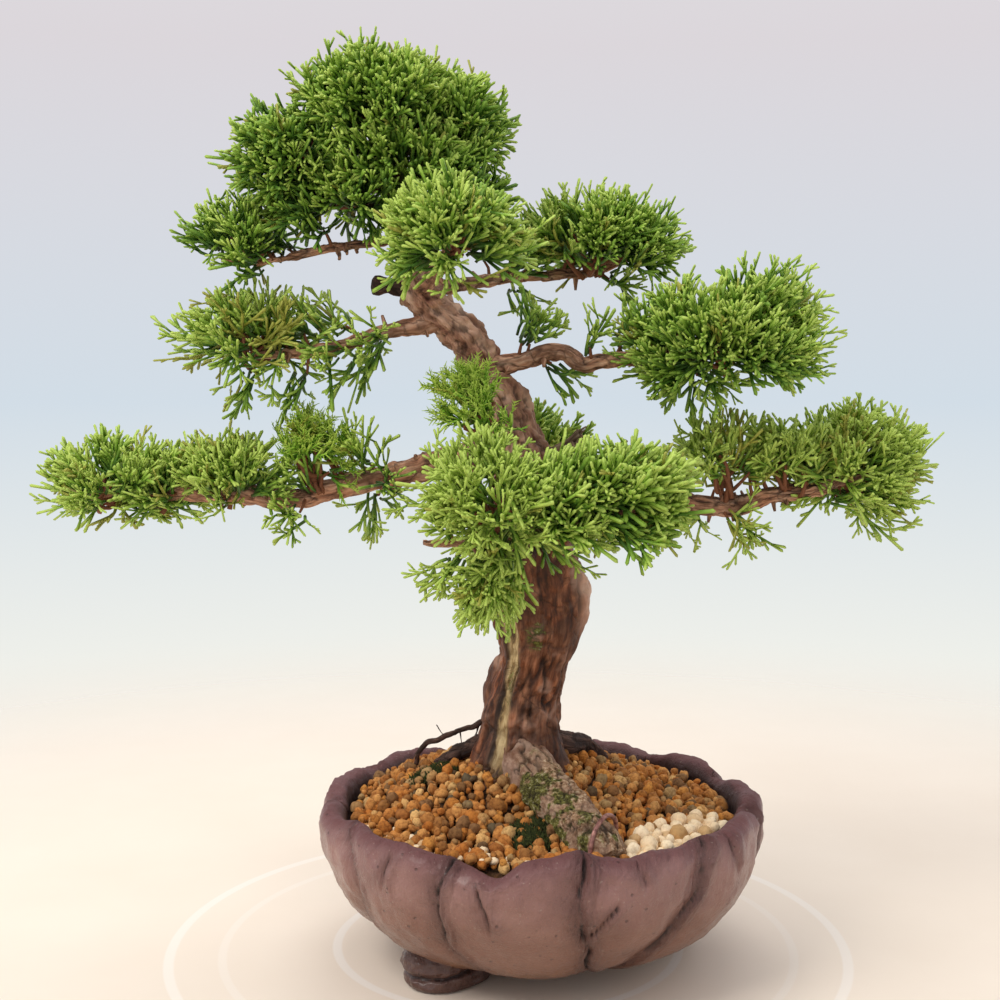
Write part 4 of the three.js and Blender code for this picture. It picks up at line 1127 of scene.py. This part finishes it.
def sprig_shapes(name, seed, needles=False):
    """Small forked side cords that grow along +Z and lean to +X, a few dozen faces each, in metres."""
    rng = np.random.default_rng(seed)
    thick = 0.44 if needles else 0.7
    stem_radii = thick * np.array((1.0, 1.0, 0.9, 0.3) if needles else (0.8, 0.95, 1.0, 1.14))
    fork_radii = thick * np.array((0.9, 0.25) if needles else (0.82, 1.1))
    shapes = []
    for k in range(SPRIG_SHAPES):
        length = rng.uniform(6.0, 9.5) if needles else rng.uniform(9.0, 16.0)
        bend = rng.uniform(-0.08, 0.16)
        share = np.linspace(0, 1, len(stem_radii))
        stem = np.stack([-bend * length * share ** 2, 0 * share, length * share], axis=1)
        cords = [(stem, stem_radii, 0.0)]
        forks = 7 if needles else int(rng.integers(1, 4))
        for fork in range(forks):
            at = (fork + 0.85) / (forks + 0.9)
            start = np.array([-bend * length * at ** 2, 0, length * at])
            side = (-1) ** (fork + k)
            lean = math.radians(rng.uniform(30, 44) if needles else rng.uniform(22, 36))
            twist = rng.uniform(-1.0, 1.0) if needles else rng.uniform(-0.4, 0.4)
            reach = rng.uniform(2.4, 3.8) if needles else rng.uniform(4.2, 8.2) * (1.15 - 0.5 * at)
            away = unit(np.array([side * math.sin(lean), twist * math.sin(lean), math.cos(lean)]))
            cords.append(([start, start + away * reach], fork_radii, 0.3 + 0.35 * at))
        points, faces, tips = [], [], []
        for path, radii, low in cords:
            corners, sides = cord(path, radii)
            faces += [tuple(i + len(points) for i in face) for face in sides]
            points += corners.tolist()
            tips += np.repeat(np.linspace(low, 1.0, len(path)), CORD_SIDES).tolist() + [1.0]
        shapes.append(mesh_object(f"{name}_{k}", np.array(points) * MM, faces, {"tip": tips}))
    return hidden_collection(name, shapes)


def spray_tree():
    """Grows leafy sprays: twigs and cords become tubes, and forked side cords follow each cord."""
    tree, given = geometry_tree("leafy_sprays", [
        ("Sprigs", "Collection"), ("Spacing", "Float"), ("Lean", "Float"), ("First", "Float"),
        ("Size", "Float"), ("Seed", "Int"), ("Leaf", "Material"), ("Twig", "Material")])

    def attribute(name):
        return add_node(tree, "GeometryNodeInputNamedAttribute", {0: name}, data_type="FLOAT").outputs[0]

    split = add_node(tree, "GeometryNodeSeparateGeometry", {
        0: given["Geometry"], 1: maths(tree, "GREATER_THAN", attribute("leafy"), 0.5)}, domain="POINT")

    def tube(lines, sides, step, material):
        curve = add_node(tree, "GeometryNodeMeshToCurve", {0: lines})
        even = add_node(tree, "GeometryNodeResampleCurve", {0: curve.outputs[0], 3: step}, mode="LENGTH")
        section = add_node(tree, "GeometryNodeCurvePrimitiveCircle", {0: sides, 4: 1.0})
        skin = add_node(tree, "GeometryNodeCurveToMesh", {
            0: even.outputs[0], 1: section.outputs[0], 2: attribute("thick"), 3: True})
        painted = add_node(tree, "GeometryNodeSetMaterial", {0: skin.outputs[0], 2: material})
        return curve.outputs[0], painted.outputs[0]

    _, twigs = tube(split.outputs[1], 5, 0.0028, given["Twig"])
    lines, cords = tube(split.outputs[0], 4, 0.0032, given["Leaf"])
    along = add_node(tree, "GeometryNodeSplineParameter").outputs[0]
    known = add_node(tree, "GeometryNodeStoreNamedAttribute", {0: lines, 2: "along", 3: along},
                     data_type="FLOAT", domain="POINT")
    points = add_node(tree, "GeometryNodeCurveToPoints", {0: known.outputs[0], 2: given["Spacing"]},
                      mode="LENGTH")
    frame_turn = add_node(tree, "FunctionNodeAxesToRotation", {
        0: points.outputs["Tangent"], 1: points.outputs["Normal"]}, primary_axis="Z", secondary_axis="X")
    index = add_node(tree, "GeometryNodeInputIndex").outputs[0]
    half_turns = maths(tree, "MULTIPLY", maths(tree, "MODULO", index, 2.0), math.pi)
    roll = maths(tree, "ADD", half_turns, attribute("roll"))
    roll = maths(tree, "ADD", roll, random_value(tree, -0.55, 0.55, given["Seed"]))
    rolled = add_node(tree, "FunctionNodeRotateRotation", {
        0: frame_turn.outputs[0],
        1: add_node(tree, "FunctionNodeAxisAngleToRotation", {0: (0, 0, 1), 1: roll}).outputs[0]},
        rotation_space="LOCAL")
    lean = maths(tree, "MULTIPLY", given["Lean"], random_value(tree, 0.75, 1.2, 21))
    lean = maths(tree, "MULTIPLY", lean, maths(tree, "MULTIPLY_ADD", attribute("along"), -0.45, 1.25))
    leaned = add_node(tree, "FunctionNodeRotateRotation", {
        0: rolled.outputs[0],
        1: add_node(tree, "FunctionNodeAxisAngleToRotation", {0: (0, 1, 0), 1: lean}).outputs[0]},
        rotation_space="LOCAL")
    size = maths(tree, "MULTIPLY_ADD", attribute("along"), -0.5, 1.2)
    size = maths(tree, "MULTIPLY", size, random_value(tree, 0.72, 1.15, 22))
    size = maths(tree, "MULTIPLY", size, given["Size"])
    shapes = add_node(tree, "GeometryNodeCollectionInfo", {0: given["Sprigs"], 1: True, 2: True})
    placed = add_node(tree, "GeometryNodeInstanceOnPoints", {
        0: points.outputs[0], 1: maths(tree, "GREATER_THAN", attribute("along"), given["First"]),
        2: shapes.outputs[0], 3: True, 4: random_value(tree, 0, SPRIG_SHAPES - 1, 23, "INT"),
        5: leaned.outputs[0], 6: size})
    real = add_node(tree, "GeometryNodeRealizeInstances", {0: placed.outputs[0]})
    leaves = add_node(tree, "GeometryNodeSetMaterial", {0: real.outputs[0], 2: given["Leaf"]})
    joined = add_node(tree, "GeometryNodeJoinGeometry")
    for part in (leaves.outputs[0], cords, twigs):
        tree.links.new(part, joined.inputs[0])
    smooth_faces = add_node(tree, "GeometryNodeSetShadeSmooth", {0: joined.outputs[0]})
    end = add_node(tree, "NodeGroupOutput")
    tree.links.new(smooth_faces.outputs[0], end.inputs[0])
    return tree


class Growth:
    """The lines that a pad grows from: bare twigs and leafy cords, with the marks its tree reads."""

    def __init__(self, name):
        self.name = name
        self.points, self.edges = [], []
        self.marks = {key: [] for key in ("leafy", "thick", "roll", "tint", "tip", "depth")}
        self.count = 0

    def line(self, path, thick, leafy, roll=0.0, tint=0.5, depth=(0.0, 1.0)):
        steps = len(path)
        self.points.append(np.asarray(path) * MM + POT_MIDDLE)
        self.edges += [(self.count + i, self.count + i + 1) for i in range(steps - 1)]
        # A cord's depth rises from its start to its tip; the leaf material paints shade where it is low.
        ends = {"leafy": (leafy, leafy), "thick": (thick[0] * MM, thick[1] * MM), "roll": (roll, roll),
                "tint": (tint, tint), "tip": (0.0, 0.9), "depth": depth}
        for key, (first, last) in ends.items():
            self.marks[key].append(np.linspace(first, last, steps))
        self.count += steps

    def object(self):
        marks = {key: np.concatenate(parts) for key, parts in self.marks.items()}
        return mesh_object(self.name, np.vstack(self.points), [], marks, self.edges)


def sphere_spread(count, rng, floor):
    """Directions spread over a ball, above a lowest z, with some disorder."""
    number = np.arange(count) + 0.5
    z = 1 - (1 - floor) * number / count
    turn = number * math.pi * (3 - 5 ** 0.5) + rng.uniform(0, 2 * math.pi)
    flat = np.sqrt(np.maximum(0, 1 - z * z))
    even = np.stack([flat * np.cos(turn), flat * np.sin(turn), z], axis=1)
    return unit(even + rng.normal(0, 0.24, (count, 3)))


def arc(start, end, sag, count, rng, wander=0.8):
    """A gently bent line between two points, bowed by sag along z."""
    share = np.linspace(0, 1, count)[:, None]
    bow = 4 * share * (1 - share) * np.array([0, 0, sag])
    drift = 4 * share * (1 - share) * rng.normal(0, wander, 3)
    return start + (end - start) * share + bow + drift


def reach_shell(base, direction, centre, half, wanted):
    """How far from base along direction the pad's outline, grown by wanted, is."""
    p = (base - centre) / half
    d = direction / half
    a, b, c = np.dot(d, d), 2 * np.dot(p, d), np.dot(p, p) - wanted ** 2
    return (-b + math.sqrt(max(b * b - 4 * a * c, 0))) / (2 * a)


# Each pad: its branch where that has another name, how many clumps and cords in each, its lowest direction,
# how far its cords turn up, and how pale its leaves are. Where needed: a pull to one side, the longest cord,
# how far cords fan out, the share of bronzed cords, and how large its sprigs are and how far they lean.
# trim moves and scales a pad, so that the tips of its sprays keep to its outline.
# fill is a second lump of clumps in its shaded heart or below it: middle, half size, clumps.
# tufts grow straight off the branch: where along it they start, and how many.
PADS = {
    "crown_top": dict(on=None, clumps=27, cords=14, floor=-0.7, rise=0.35, lift=0.03,
                      trim=((-1.0, 0, -6.0), (0.93, 1.0, 0.88)), fill=((-52, 0, 306), (34, 26, 22), 15)),
    "crown_left": dict(clumps=17, cords=13, floor=-0.8, rise=0.1, lift=-0.03, pull=(-0.3, 0, 0),
                       trim=((2.0, 0, 1.0), (0.95, 1.0, 0.95)), fill=((-74, -2, 294), (30, 22, 18), 13),
                       tufts=(0.4, 5)),
    "crown_right": dict(clumps=15, cords=13, floor=-0.8, rise=0.3, lift=0.02,
                        trim=((-6.0, 0, -4.0), (0.86, 1.0, 0.92)), fill=((-36, 2, 296), (24, 21, 22), 9)),
    "left_upper": dict(clumps=9, cords=13, floor=-0.5, rise=0.3, lift=0.02, pull=(-0.3, 0, 0),
                       tufts=(0.4, 5)),
    "front_upper": dict(clumps=16, cords=14, floor=-0.75, rise=0.25, lift=0.13),
    "right_upper": dict(clumps=20, cords=13, floor=-0.7, rise=0.35, lift=0.05, pull=(0.3, 0, 0),
                        trim=((0, -1.0, -1.0), (1.0, 0.96, 0.97)), tufts=(0.12, 10)),
    "right_mid": dict(clumps=25, cords=13, floor=-0.8, rise=0.3, lift=0.06, pull=(0.25, 0, 0),
                      tufts=(0.08, 13)),
    "left_mid": dict(clumps=13, cords=7, floor=-0.7, rise=0.15, lift=0.17, pull=(-0.4, 0, 0), spread=0.45,
                     longest=34, bronze=0.12, tufts=(0.25, 14)),
    "left_low_tip": dict(on="left_low", clumps=14, cords=13, floor=-0.6, rise=0.35, lift=0.15,
                         pull=(-0.2, 0, 0), fill=((-146, -3, 181), (18, 13, 11), 5)),
    "left_low_inner": dict(on="left_low", clumps=10, cords=11, floor=-0.5, rise=0.3, lift=0.16, bronze=0.1,
                           fill=((-122, -5, 182), (22, 15, 11), 6), tufts=(0.3, 14)),
    "left_low_top": dict(on="left_low", clumps=9, cords=8, floor=-0.4, rise=0.3, lift=0.19, needles=True,
                         pull=(0.35, -0.2, 0), longest=26),
    "right_low_inner": dict(on="right_low", clumps=10, cords=10, floor=-0.6, rise=0.3, lift=0.32,
                            bronze=0.13, fill=((98, 2, 191), (22, 15, 15), 7), tufts=(0.3, 11)),
    "right_low_outer": dict(on="right_low", clumps=17, cords=12, floor=-0.85, rise=0.1, lift=0.3,
                            pull=(0.4, 0, -0.1), longest=34, bronze=0.05,
                            trim=((-4.0, 0, -3.0), (0.96, 1.0, 1.05))),
    "front_low_left": dict(clumps=15, cords=12, floor=-0.9, rise=0.05, lift=0.33, pull=(-0.3, 0, -0.15),
                           longest=34, tufts=(0.35, 5)),
    "front_low_right": dict(clumps=17, cords=13, floor=-0.75, rise=0.0, lift=0.1, pull=(1.0, -0.1, -0.15),
                            longest=40, spread=0.26, size=1.2, lean=0.4,
                            fill=((5, -54, 179), (26, 19, 24), 12), tufts=(0.35, 6)),
    "sprig": dict(clumps=7, cords=7, floor=-0.3, rise=0.5, lift=0.20, needles=True, pull=(-0.7, -0.1, 0.3),
                  longest=28, spread=0.3, fill=((-24, -28, 209), (16, 9, 16), 5)),
    "back_low": dict(clumps=14, cords=12, floor=-0.7, rise=0.3, lift=0.02,
                     trim=((0, -5.0, 0), (1.0, 0.93, 1.0)), tufts=(0.4, 5)),
}
TUFT_CORD = 15.0
HANGING_CLUMPS = 7


def grow_clump(growth, rng, base, aim, centre, half, style, depth=0.15, outline=0.95):
    """Cords that fan out from one twig end to the pad's outline."""
    tone = rng.uniform(0.0, 0.8)
    pull = np.array(style.get("pull", (0.0, 0.0, 0.0)))
    for _ in range(style["cords"]):
        upward = np.array([0, 0, style["rise"] * rng.uniform(0.3, 1.2)])
        direction = unit(aim + rng.normal(0, style.get("spread", 0.34), 3) + pull + upward)
        start = base + rng.normal(0, 1.8, 3)
        far = reach_shell(start, direction, centre, half, outline * rng.uniform(0.78, 1.06)) - 4.5
        length = float(np.clip(far, 8, style.get("longest", 30)))
        length *= 1.25 if rng.random() < 0.1 else 1.0
        path = arc(start, start + direction * length, rng.uniform(-0.22, 0.05) * length, 7, rng, 1.2)
        bronzed = rng.random() < style.get("bronze", 0.03)
        tint = 1.0 if bronzed else float(np.clip(tone + rng.normal(0, 0.15), 0, 0.88))
        growth.line(path, (0.62, 0.66), True, rng.uniform(0, 6.28), tint, (depth, 1.0))


def nearest_start(path, base, rng):
    away = np.linalg.norm(path - base, axis=1) + 0.35 * np.abs(path - base)[:, 2]
    return path[np.argmin(away + rng.uniform(0, 9, len(path)))]


def grow_pad(growth, path, centre, half, clumps, style, rng, depth=0.15):
    """Clumps that point away from the pad's heart. Most twigs fork from one limb that leads to it."""
    low_middle = centre - np.array([0, 0, 0.4 * half[2]])
    heart = (path[np.argmin(np.linalg.norm(path - low_middle, axis=1))] + low_middle) / 2
    growth.line(arc(nearest_start(path, heart, rng), heart, 1.0, 9, rng, 1.0), (1.6, 1.0), False)
    for aim in sphere_spread(clumps, rng, style["floor"]):
        lump = field(aim * 10 + centre, 9.0, 3, 2)
        outline = float(np.clip(0.96 + 0.38 * lump + rng.normal(0, 0.08), 0.62, 1.1))
        base = centre + aim * half * rng.uniform(0.15, 0.5) * outline
        outward = unit(unit(base - heart) * 0.9 + aim * 0.6)
        start = heart + rng.normal(0, 2.0, 3) if rng.random() < 0.7 else nearest_start(path, base, rng)
        growth.line(arc(start, base, rng.uniform(-1.5, 2.5), 9, rng, 2.0), (1.1, 0.6), False)
        grow_clump(growth, rng, base, outward, centre, half, style, depth, outline)


def grow_tufts(growth, path, first, count, style, rng):
    """Small tufts straight off a branch, between and beside its pads."""
    ahead = unit(np.gradient(path, axis=0))
    for _ in range(count):
        at = int(rng.uniform(first, 0.97) * (len(path) - 1))
        side = unit(np.cross(ahead[at], rng.normal(0, 1, 3)) + 0.45 * ahead[at] + np.array([0, 0, 0.35]))
        base = path[at] + side * rng.uniform(5, 10)
        growth.line(arc(path[at], base, 0.5, 5, rng, 0.6), (0.9, 0.5), False)
        small = dict(style, cords=int(rng.integers(5, 9)), spread=0.42, longest=TUFT_CORD)
        grow_clump(growth, rng, base, side, base, np.full(3, rng.uniform(14, 19)), small)


def grow_hanging_tuft(growth, rng, centre, bottom, style):
    """One limb that leads down to a few clumps, and the cords that hang from them."""
    hang = np.array([centre[0] + 2, centre[1] + 2, bottom + 17])
    limb = arc(centre + np.array([0, 0, 12.0]), hang + np.array([0, 0, 8]), 1, 9, rng)
    growth.line(limb, (0.9, 0.5), False)
    for aim in unit(rng.normal(0, 0.55, (HANGING_CLUMPS, 3)) + np.array([0, 0, -0.8])):
        base = hang + np.array([0, 0, rng.uniform(6, 16)]) + rng.normal(0, 2, 3)
        grow_clump(growth, rng, base, aim, hang, np.array([14, 11, 17.0]), style, 0.1)


def make_foliage():
    tree = spray_tree()
    scale_leaves = sprig_shapes("scale_sprig", 11)
    needle_leaves = sprig_shapes("needle_sprig", 12, needles=True)
    twig = bark_material("twig_bark", (0.06, 0.022, 0.01), (0.2, 0.08, 0.04), (0.36, 0.18, 0.1),
                         900.0, 400.0)
    for i, (name, style) in enumerate(PADS.items()):
        rng = np.random.default_rng(200 + i)
        growth = Growth(f"foliage_sprays_{name}")
        low, high = (in_mm(corner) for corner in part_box(f"foliage_{name}"))
        centre, half = (low + high) / 2, (high - low) / 2
        if "trim" in style:
            move, scale = style["trim"]
            centre, half = centre + move, half * scale
        if name == "front_low_left":
            grow_hanging_tuft(growth, rng, centre, low[2], style)
            centre, half = centre + np.array([0, 0, 12.0]), half - np.array([0, 0, 12.0])
        on = style.get("on", name)
        whole = trunk_path[-80:] if on is None else smooth(BRANCH_ROUTES[on], 80)[0]
        outer = whole[20:]
        grow_pad(growth, outer, centre, half, style["clumps"], style, rng)
        if "fill" in style:
            middle, reach, clumps = style["fill"]
            grow_pad(growth, outer, np.array(middle), np.array(reach), clumps, style, rng, 0.0)
        if "tufts" in style:
            grow_tufts(growth, whole, *style["tufts"], style, rng)
        needles = style.get("needles", False)
        piece = grown(growth.object(), tree, {
            "Sprigs": needle_leaves if needles else scale_leaves,
            "Spacing": (NEEDLE_SPACING if needles else SCALE_SPACING) * MM,
            "Lean": NEEDLE_LEAN if needles else style.get("lean", SCALE_LEAN),
            "First": FIRST_SPRIG,
            "Size": style.get("size", 1.0),
            "Seed": i,
            "Leaf": leaf_material(f"leaf_{name}", style["lift"], NEEDLE_TONES if needles else LEAF_TONES),
            "Twig": twig})
        settle(piece, "foliage", f"foliage_{name}")


# ------------------------------------------------------------------ small pieces

# Each moss cushion: half its length and width, and how far it has crept from its CAD place.
MOSSES = {"moss_front": ((8, 12), (5, -2, 0)), "moss_left": ((11, 7), (0, 0, 0))}
MOSS_BLADES = 1300


def make_moss():
    """Low cushions of short blades."""
    moss = speckled_material("moss", (800.0, 4.0, 0.7), (
        (0.3, (0.012, 0.014, 0.004)), (0.55, (0.05, 0.065, 0.008)), (0.75, (0.16, 0.17, 0.03))),
        relief=(1.0, 0.0012), Roughness=0.95)
    for i, (name, (half, crept)) in enumerate(MOSSES.items()):
        low, high = (in_mm(corner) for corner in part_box(name))
        middle = (low + high) / 2 + crept
        rng = np.random.default_rng(300 + i)
        piece = Piece(f"{name}_cushion")
        for _ in range(MOSS_BLADES):
            turn, away = rng.uniform(0, 2 * math.pi), math.sqrt(rng.uniform(0, 1))
            x = middle[0] + half[0] * away * math.cos(turn)
            y = middle[1] + half[1] * away * math.sin(turn)
            if field(np.array([[x, y, 0.0]]), 4.0, 310, 2)[0] < -0.12:
                continue
            ground = float(soil_height(np.array(x), np.array(y))) + 1.2 + 2.2 * (1 - away ** 2)
            tall = rng.uniform(0.6, 1.7)
            lean = rng.normal(0, 0.9, 2)
            foot = np.array([x, y, ground - 1.0])
            top = np.array([x + lean[0], y + lean[1], ground + tall])
            verts, faces = cord([foot, (foot + top) / 2 + (0.1, 0, 0), top], [0.42, 0.36, 0.1])
            piece.add(verts, faces)
        settle(piece.build(moss), "moss", name)


def make_tie_wire():
    """Brown-lacquered aluminium wire that holds the tree to its pot."""
    path, _ = smooth(from_foot(TIE_WIRE), 60)
    piece = Piece("tie_wire_loop")
    piece.add_rings(path[:, None] + WIRE_RADIUS * around_path(path, 20, (1, 0, 0)))
    lacquer = speckled_material("lacquered_wire", (600.0, 3.0), (
        (0.35, (0.16, 0.06, 0.05)), (0.65, (0.42, 0.2, 0.16))), relief=(0.3, 0.0003),
        Metallic=0.35, Roughness=0.38)
    settle(piece.build(lacquer), "wire", "tie_wire")


def dress_cad_nodes():
    """The drain mesh and its clip keep their CAD shapes, with moulded plastic and drawn wire."""
    plastic = speckled_material("moulded_net", (900.0, 3.0), (
        (0.3, (0.008, 0.008, 0.009)), (0.7, (0.03, 0.03, 0.032))), gloss=((0.3, 0.5), (0.7, 0.75)),
        relief=(0.3, 0.0003), Specular_IOR_Level=0.4)
    wire = speckled_material("drawn_wire", (1800.0, 3.0), (
        (0.3, (0.42, 0.4, 0.37)), (0.7, (0.66, 0.64, 0.6))), gloss=((0.3, 0.25), (0.7, 0.45)),
        stretch=(0.2, 1, 1), Metallic=0.9)
    for node, material in (("drain_mesh", plastic), ("drain_clip", wire)):
        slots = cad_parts[node].data.materials
        slots.clear()
        slots.append(material)


# ------------------------------------------------------------------ stage, light and camera

TABLE_MIDDLE = (-12.8, 6.0, 0.0)
TABLE_REACH = (900, 300, 100)
# Where the table fades from solid to nothing, in metres from its middle.
TABLE_FADE = (0.2, 0.72)
# Painted highlights drawn on the table as rings, where a turntable's edge and grooves catch the light:
# radius, width and strength.
TABLE_RINGS = ((68.5, 3.6, 0.9), (113.5, 3.4, 0.35), (134.0, 4.0, 0.7))
# The studio's backdrop from straight down to straight up.
SKY_TONES = ((0.0, (0.84, 0.78, 0.71)), (0.18, (0.87, 0.825, 0.765)), (0.31, (0.863, 0.872, 0.825)),
             (0.474, (0.645, 0.724, 0.797)), (0.7, (0.712, 0.676, 0.709)), (1.0, (0.8, 0.8, 0.82)))
# Each lamp: its place and size in metres, watts and colour. All face the middle of the tree.
LAMPS = {
    "key": ((-0.78, -0.62, 1.2), 0.7, 11.5, (1.0, 0.97, 0.92)),
    "fill": ((0.9, -0.5, 0.7), 1.0, 0.5, (0.95, 0.97, 1.0)),
    "top": ((0.1, 0.4, 1.4), 0.9, 6.0, (1.0, 1.0, 1.0)),
}
LAMP_TARGET = (0, 0, 0.16)
CAMERA_PLACE = (-16.0, -581.0, 233.0)
CAMERA_DIP = 5.3
FOCAL_LENGTH = 54.0
SENSOR_WIDTH = 36.0


def make_stage():
    """A pale round table whose edge fades away, with faint rings of painted highlight around the pot."""
    piece = Piece("floor")
    around = circle(96)
    rings = np.array([np.stack([r * np.cos(around), r * np.sin(around), 0 * around - 0.05], axis=1)
                      for r in TABLE_REACH])
    faces = quads_between(len(TABLE_REACH), len(around))
    faces.append(tuple(range((len(TABLE_REACH) - 1) * len(around), len(TABLE_REACH) * len(around))))
    piece.add(rings, faces)
    material, tree, shader = new_material("pale_floor", Roughness=0.55, Specular_IOR_Level=0.25)
    place = object_place(tree)
    middle = POT_MIDDLE + np.array(TABLE_MIDDLE) * MM
    centred = add_node(tree, "ShaderNodeVectorMath", {0: place, 1: middle.tolist()}, operation="SUBTRACT")
    length = add_node(tree, "ShaderNodeVectorMath", {0: centred.outputs[0]}, operation="LENGTH")
    length = length.outputs["Value"]
    lines = 0.0
    for radius, width, strength in TABLE_RINGS:
        away = maths(tree, "ABSOLUTE", maths(tree, "SUBTRACT", length, radius * MM))
        line = add_node(tree, "ShaderNodeMapRange", {
            0: away, 1: (width / 2 - 0.4) * MM, 2: (width / 2 + 0.4) * MM, 3: strength, 4: 0.0})
        lines = maths(tree, "MAXIMUM", lines, line.outputs[0])
    stain = noise_value(tree, place, 14.0, 4.0)
    cream = blend_colours(tree, stain, (0.79, 0.68, 0.565, 1.0), (0.85, 0.75, 0.64, 1.0))
    solid = add_node(tree, "ShaderNodeMapRange", {
        0: length, 1: TABLE_FADE[0], 2: TABLE_FADE[1], 3: 1.0, 4: 0.0}, interpolation_type="SMOOTHSTEP")
    # The rings are painted highlights, lighter than the table.
    set_inputs(tree, shader, {"Base Color": laid_over(tree, cream, lines, (0.9, 0.86, 0.81), 0.6),
                              "Alpha": solid.outputs[0]})
    piece.build(material)


def make_light():
    world = bpy.data.worlds.new("studio")
    bpy.context.scene.world = world
    world.use_nodes = True
    tree = world.node_tree
    direction = add_node(tree, "ShaderNodeTexCoord").outputs["Generated"]
    up = add_node(tree, "ShaderNodeSeparateXYZ", {0: direction}).outputs[2]
    sky = ramp(tree, maths(tree, "ADD", up, 0.5), *SKY_TONES)
    set_inputs(tree, tree.nodes["Background"], {"Color": sky, "Strength": 1.0})
    for name, (place, size, watts, colour) in LAMPS.items():
        lamp = bpy.data.lights.new(name, "AREA")
        lamp.size = size
        lamp.energy = watts
        lamp.color = colour
        light = bpy.data.objects.new(name, lamp)
        light.location = place
        light.rotation_euler = (Vector(LAMP_TARGET) - light.location).to_track_quat("-Z", "Y").to_euler()
        bpy.context.scene.collection.objects.link(light)
    bpy.context.scene.view_settings.view_transform = "Standard"


def make_camera():
    """A little above the pot's rim, looking slightly down."""
    lens = bpy.data.cameras.new("camera")
    lens.sensor_width = SENSOR_WIDTH
    lens.lens = FOCAL_LENGTH
    camera = bpy.data.objects.new("camera", lens)
    camera.location = POT_MIDDLE + np.array(CAMERA_PLACE) * MM
    camera.rotation_euler = (math.radians(90 - CAMERA_DIP), 0, 0)
    bpy.context.scene.collection.objects.link(camera)
    bpy.context.scene.camera = camera


def soil_blockers():
    """Circles on the soil that the trunk and roots fill."""
    circles = [(TRUNK_FOOT[0], TRUNK_FOOT[1], 15.0)]
    for name, shrink in (("root_front", 2.2), ("root_right", 2.0)):
        thick, steps = ROOTS[name]
        path, number = smooth(from_foot(steps), 30)
        widths = np.interp(number, range(len(thick)), thick) / 2
        circles += [(p[0], p[1], w - shrink) for p, w in zip(path, widths)
                    if p[2] + w > soil_height(p[0], p[1])]
    return circles


make_camera()
make_light()
make_stage()
make_pot()
make_soil_body()
make_grains(soil_blockers())
make_trunk()
make_branches()
make_stubs()
make_roots()
make_foliage()
make_moss()
make_tie_wire()
dress_cad_nodes()
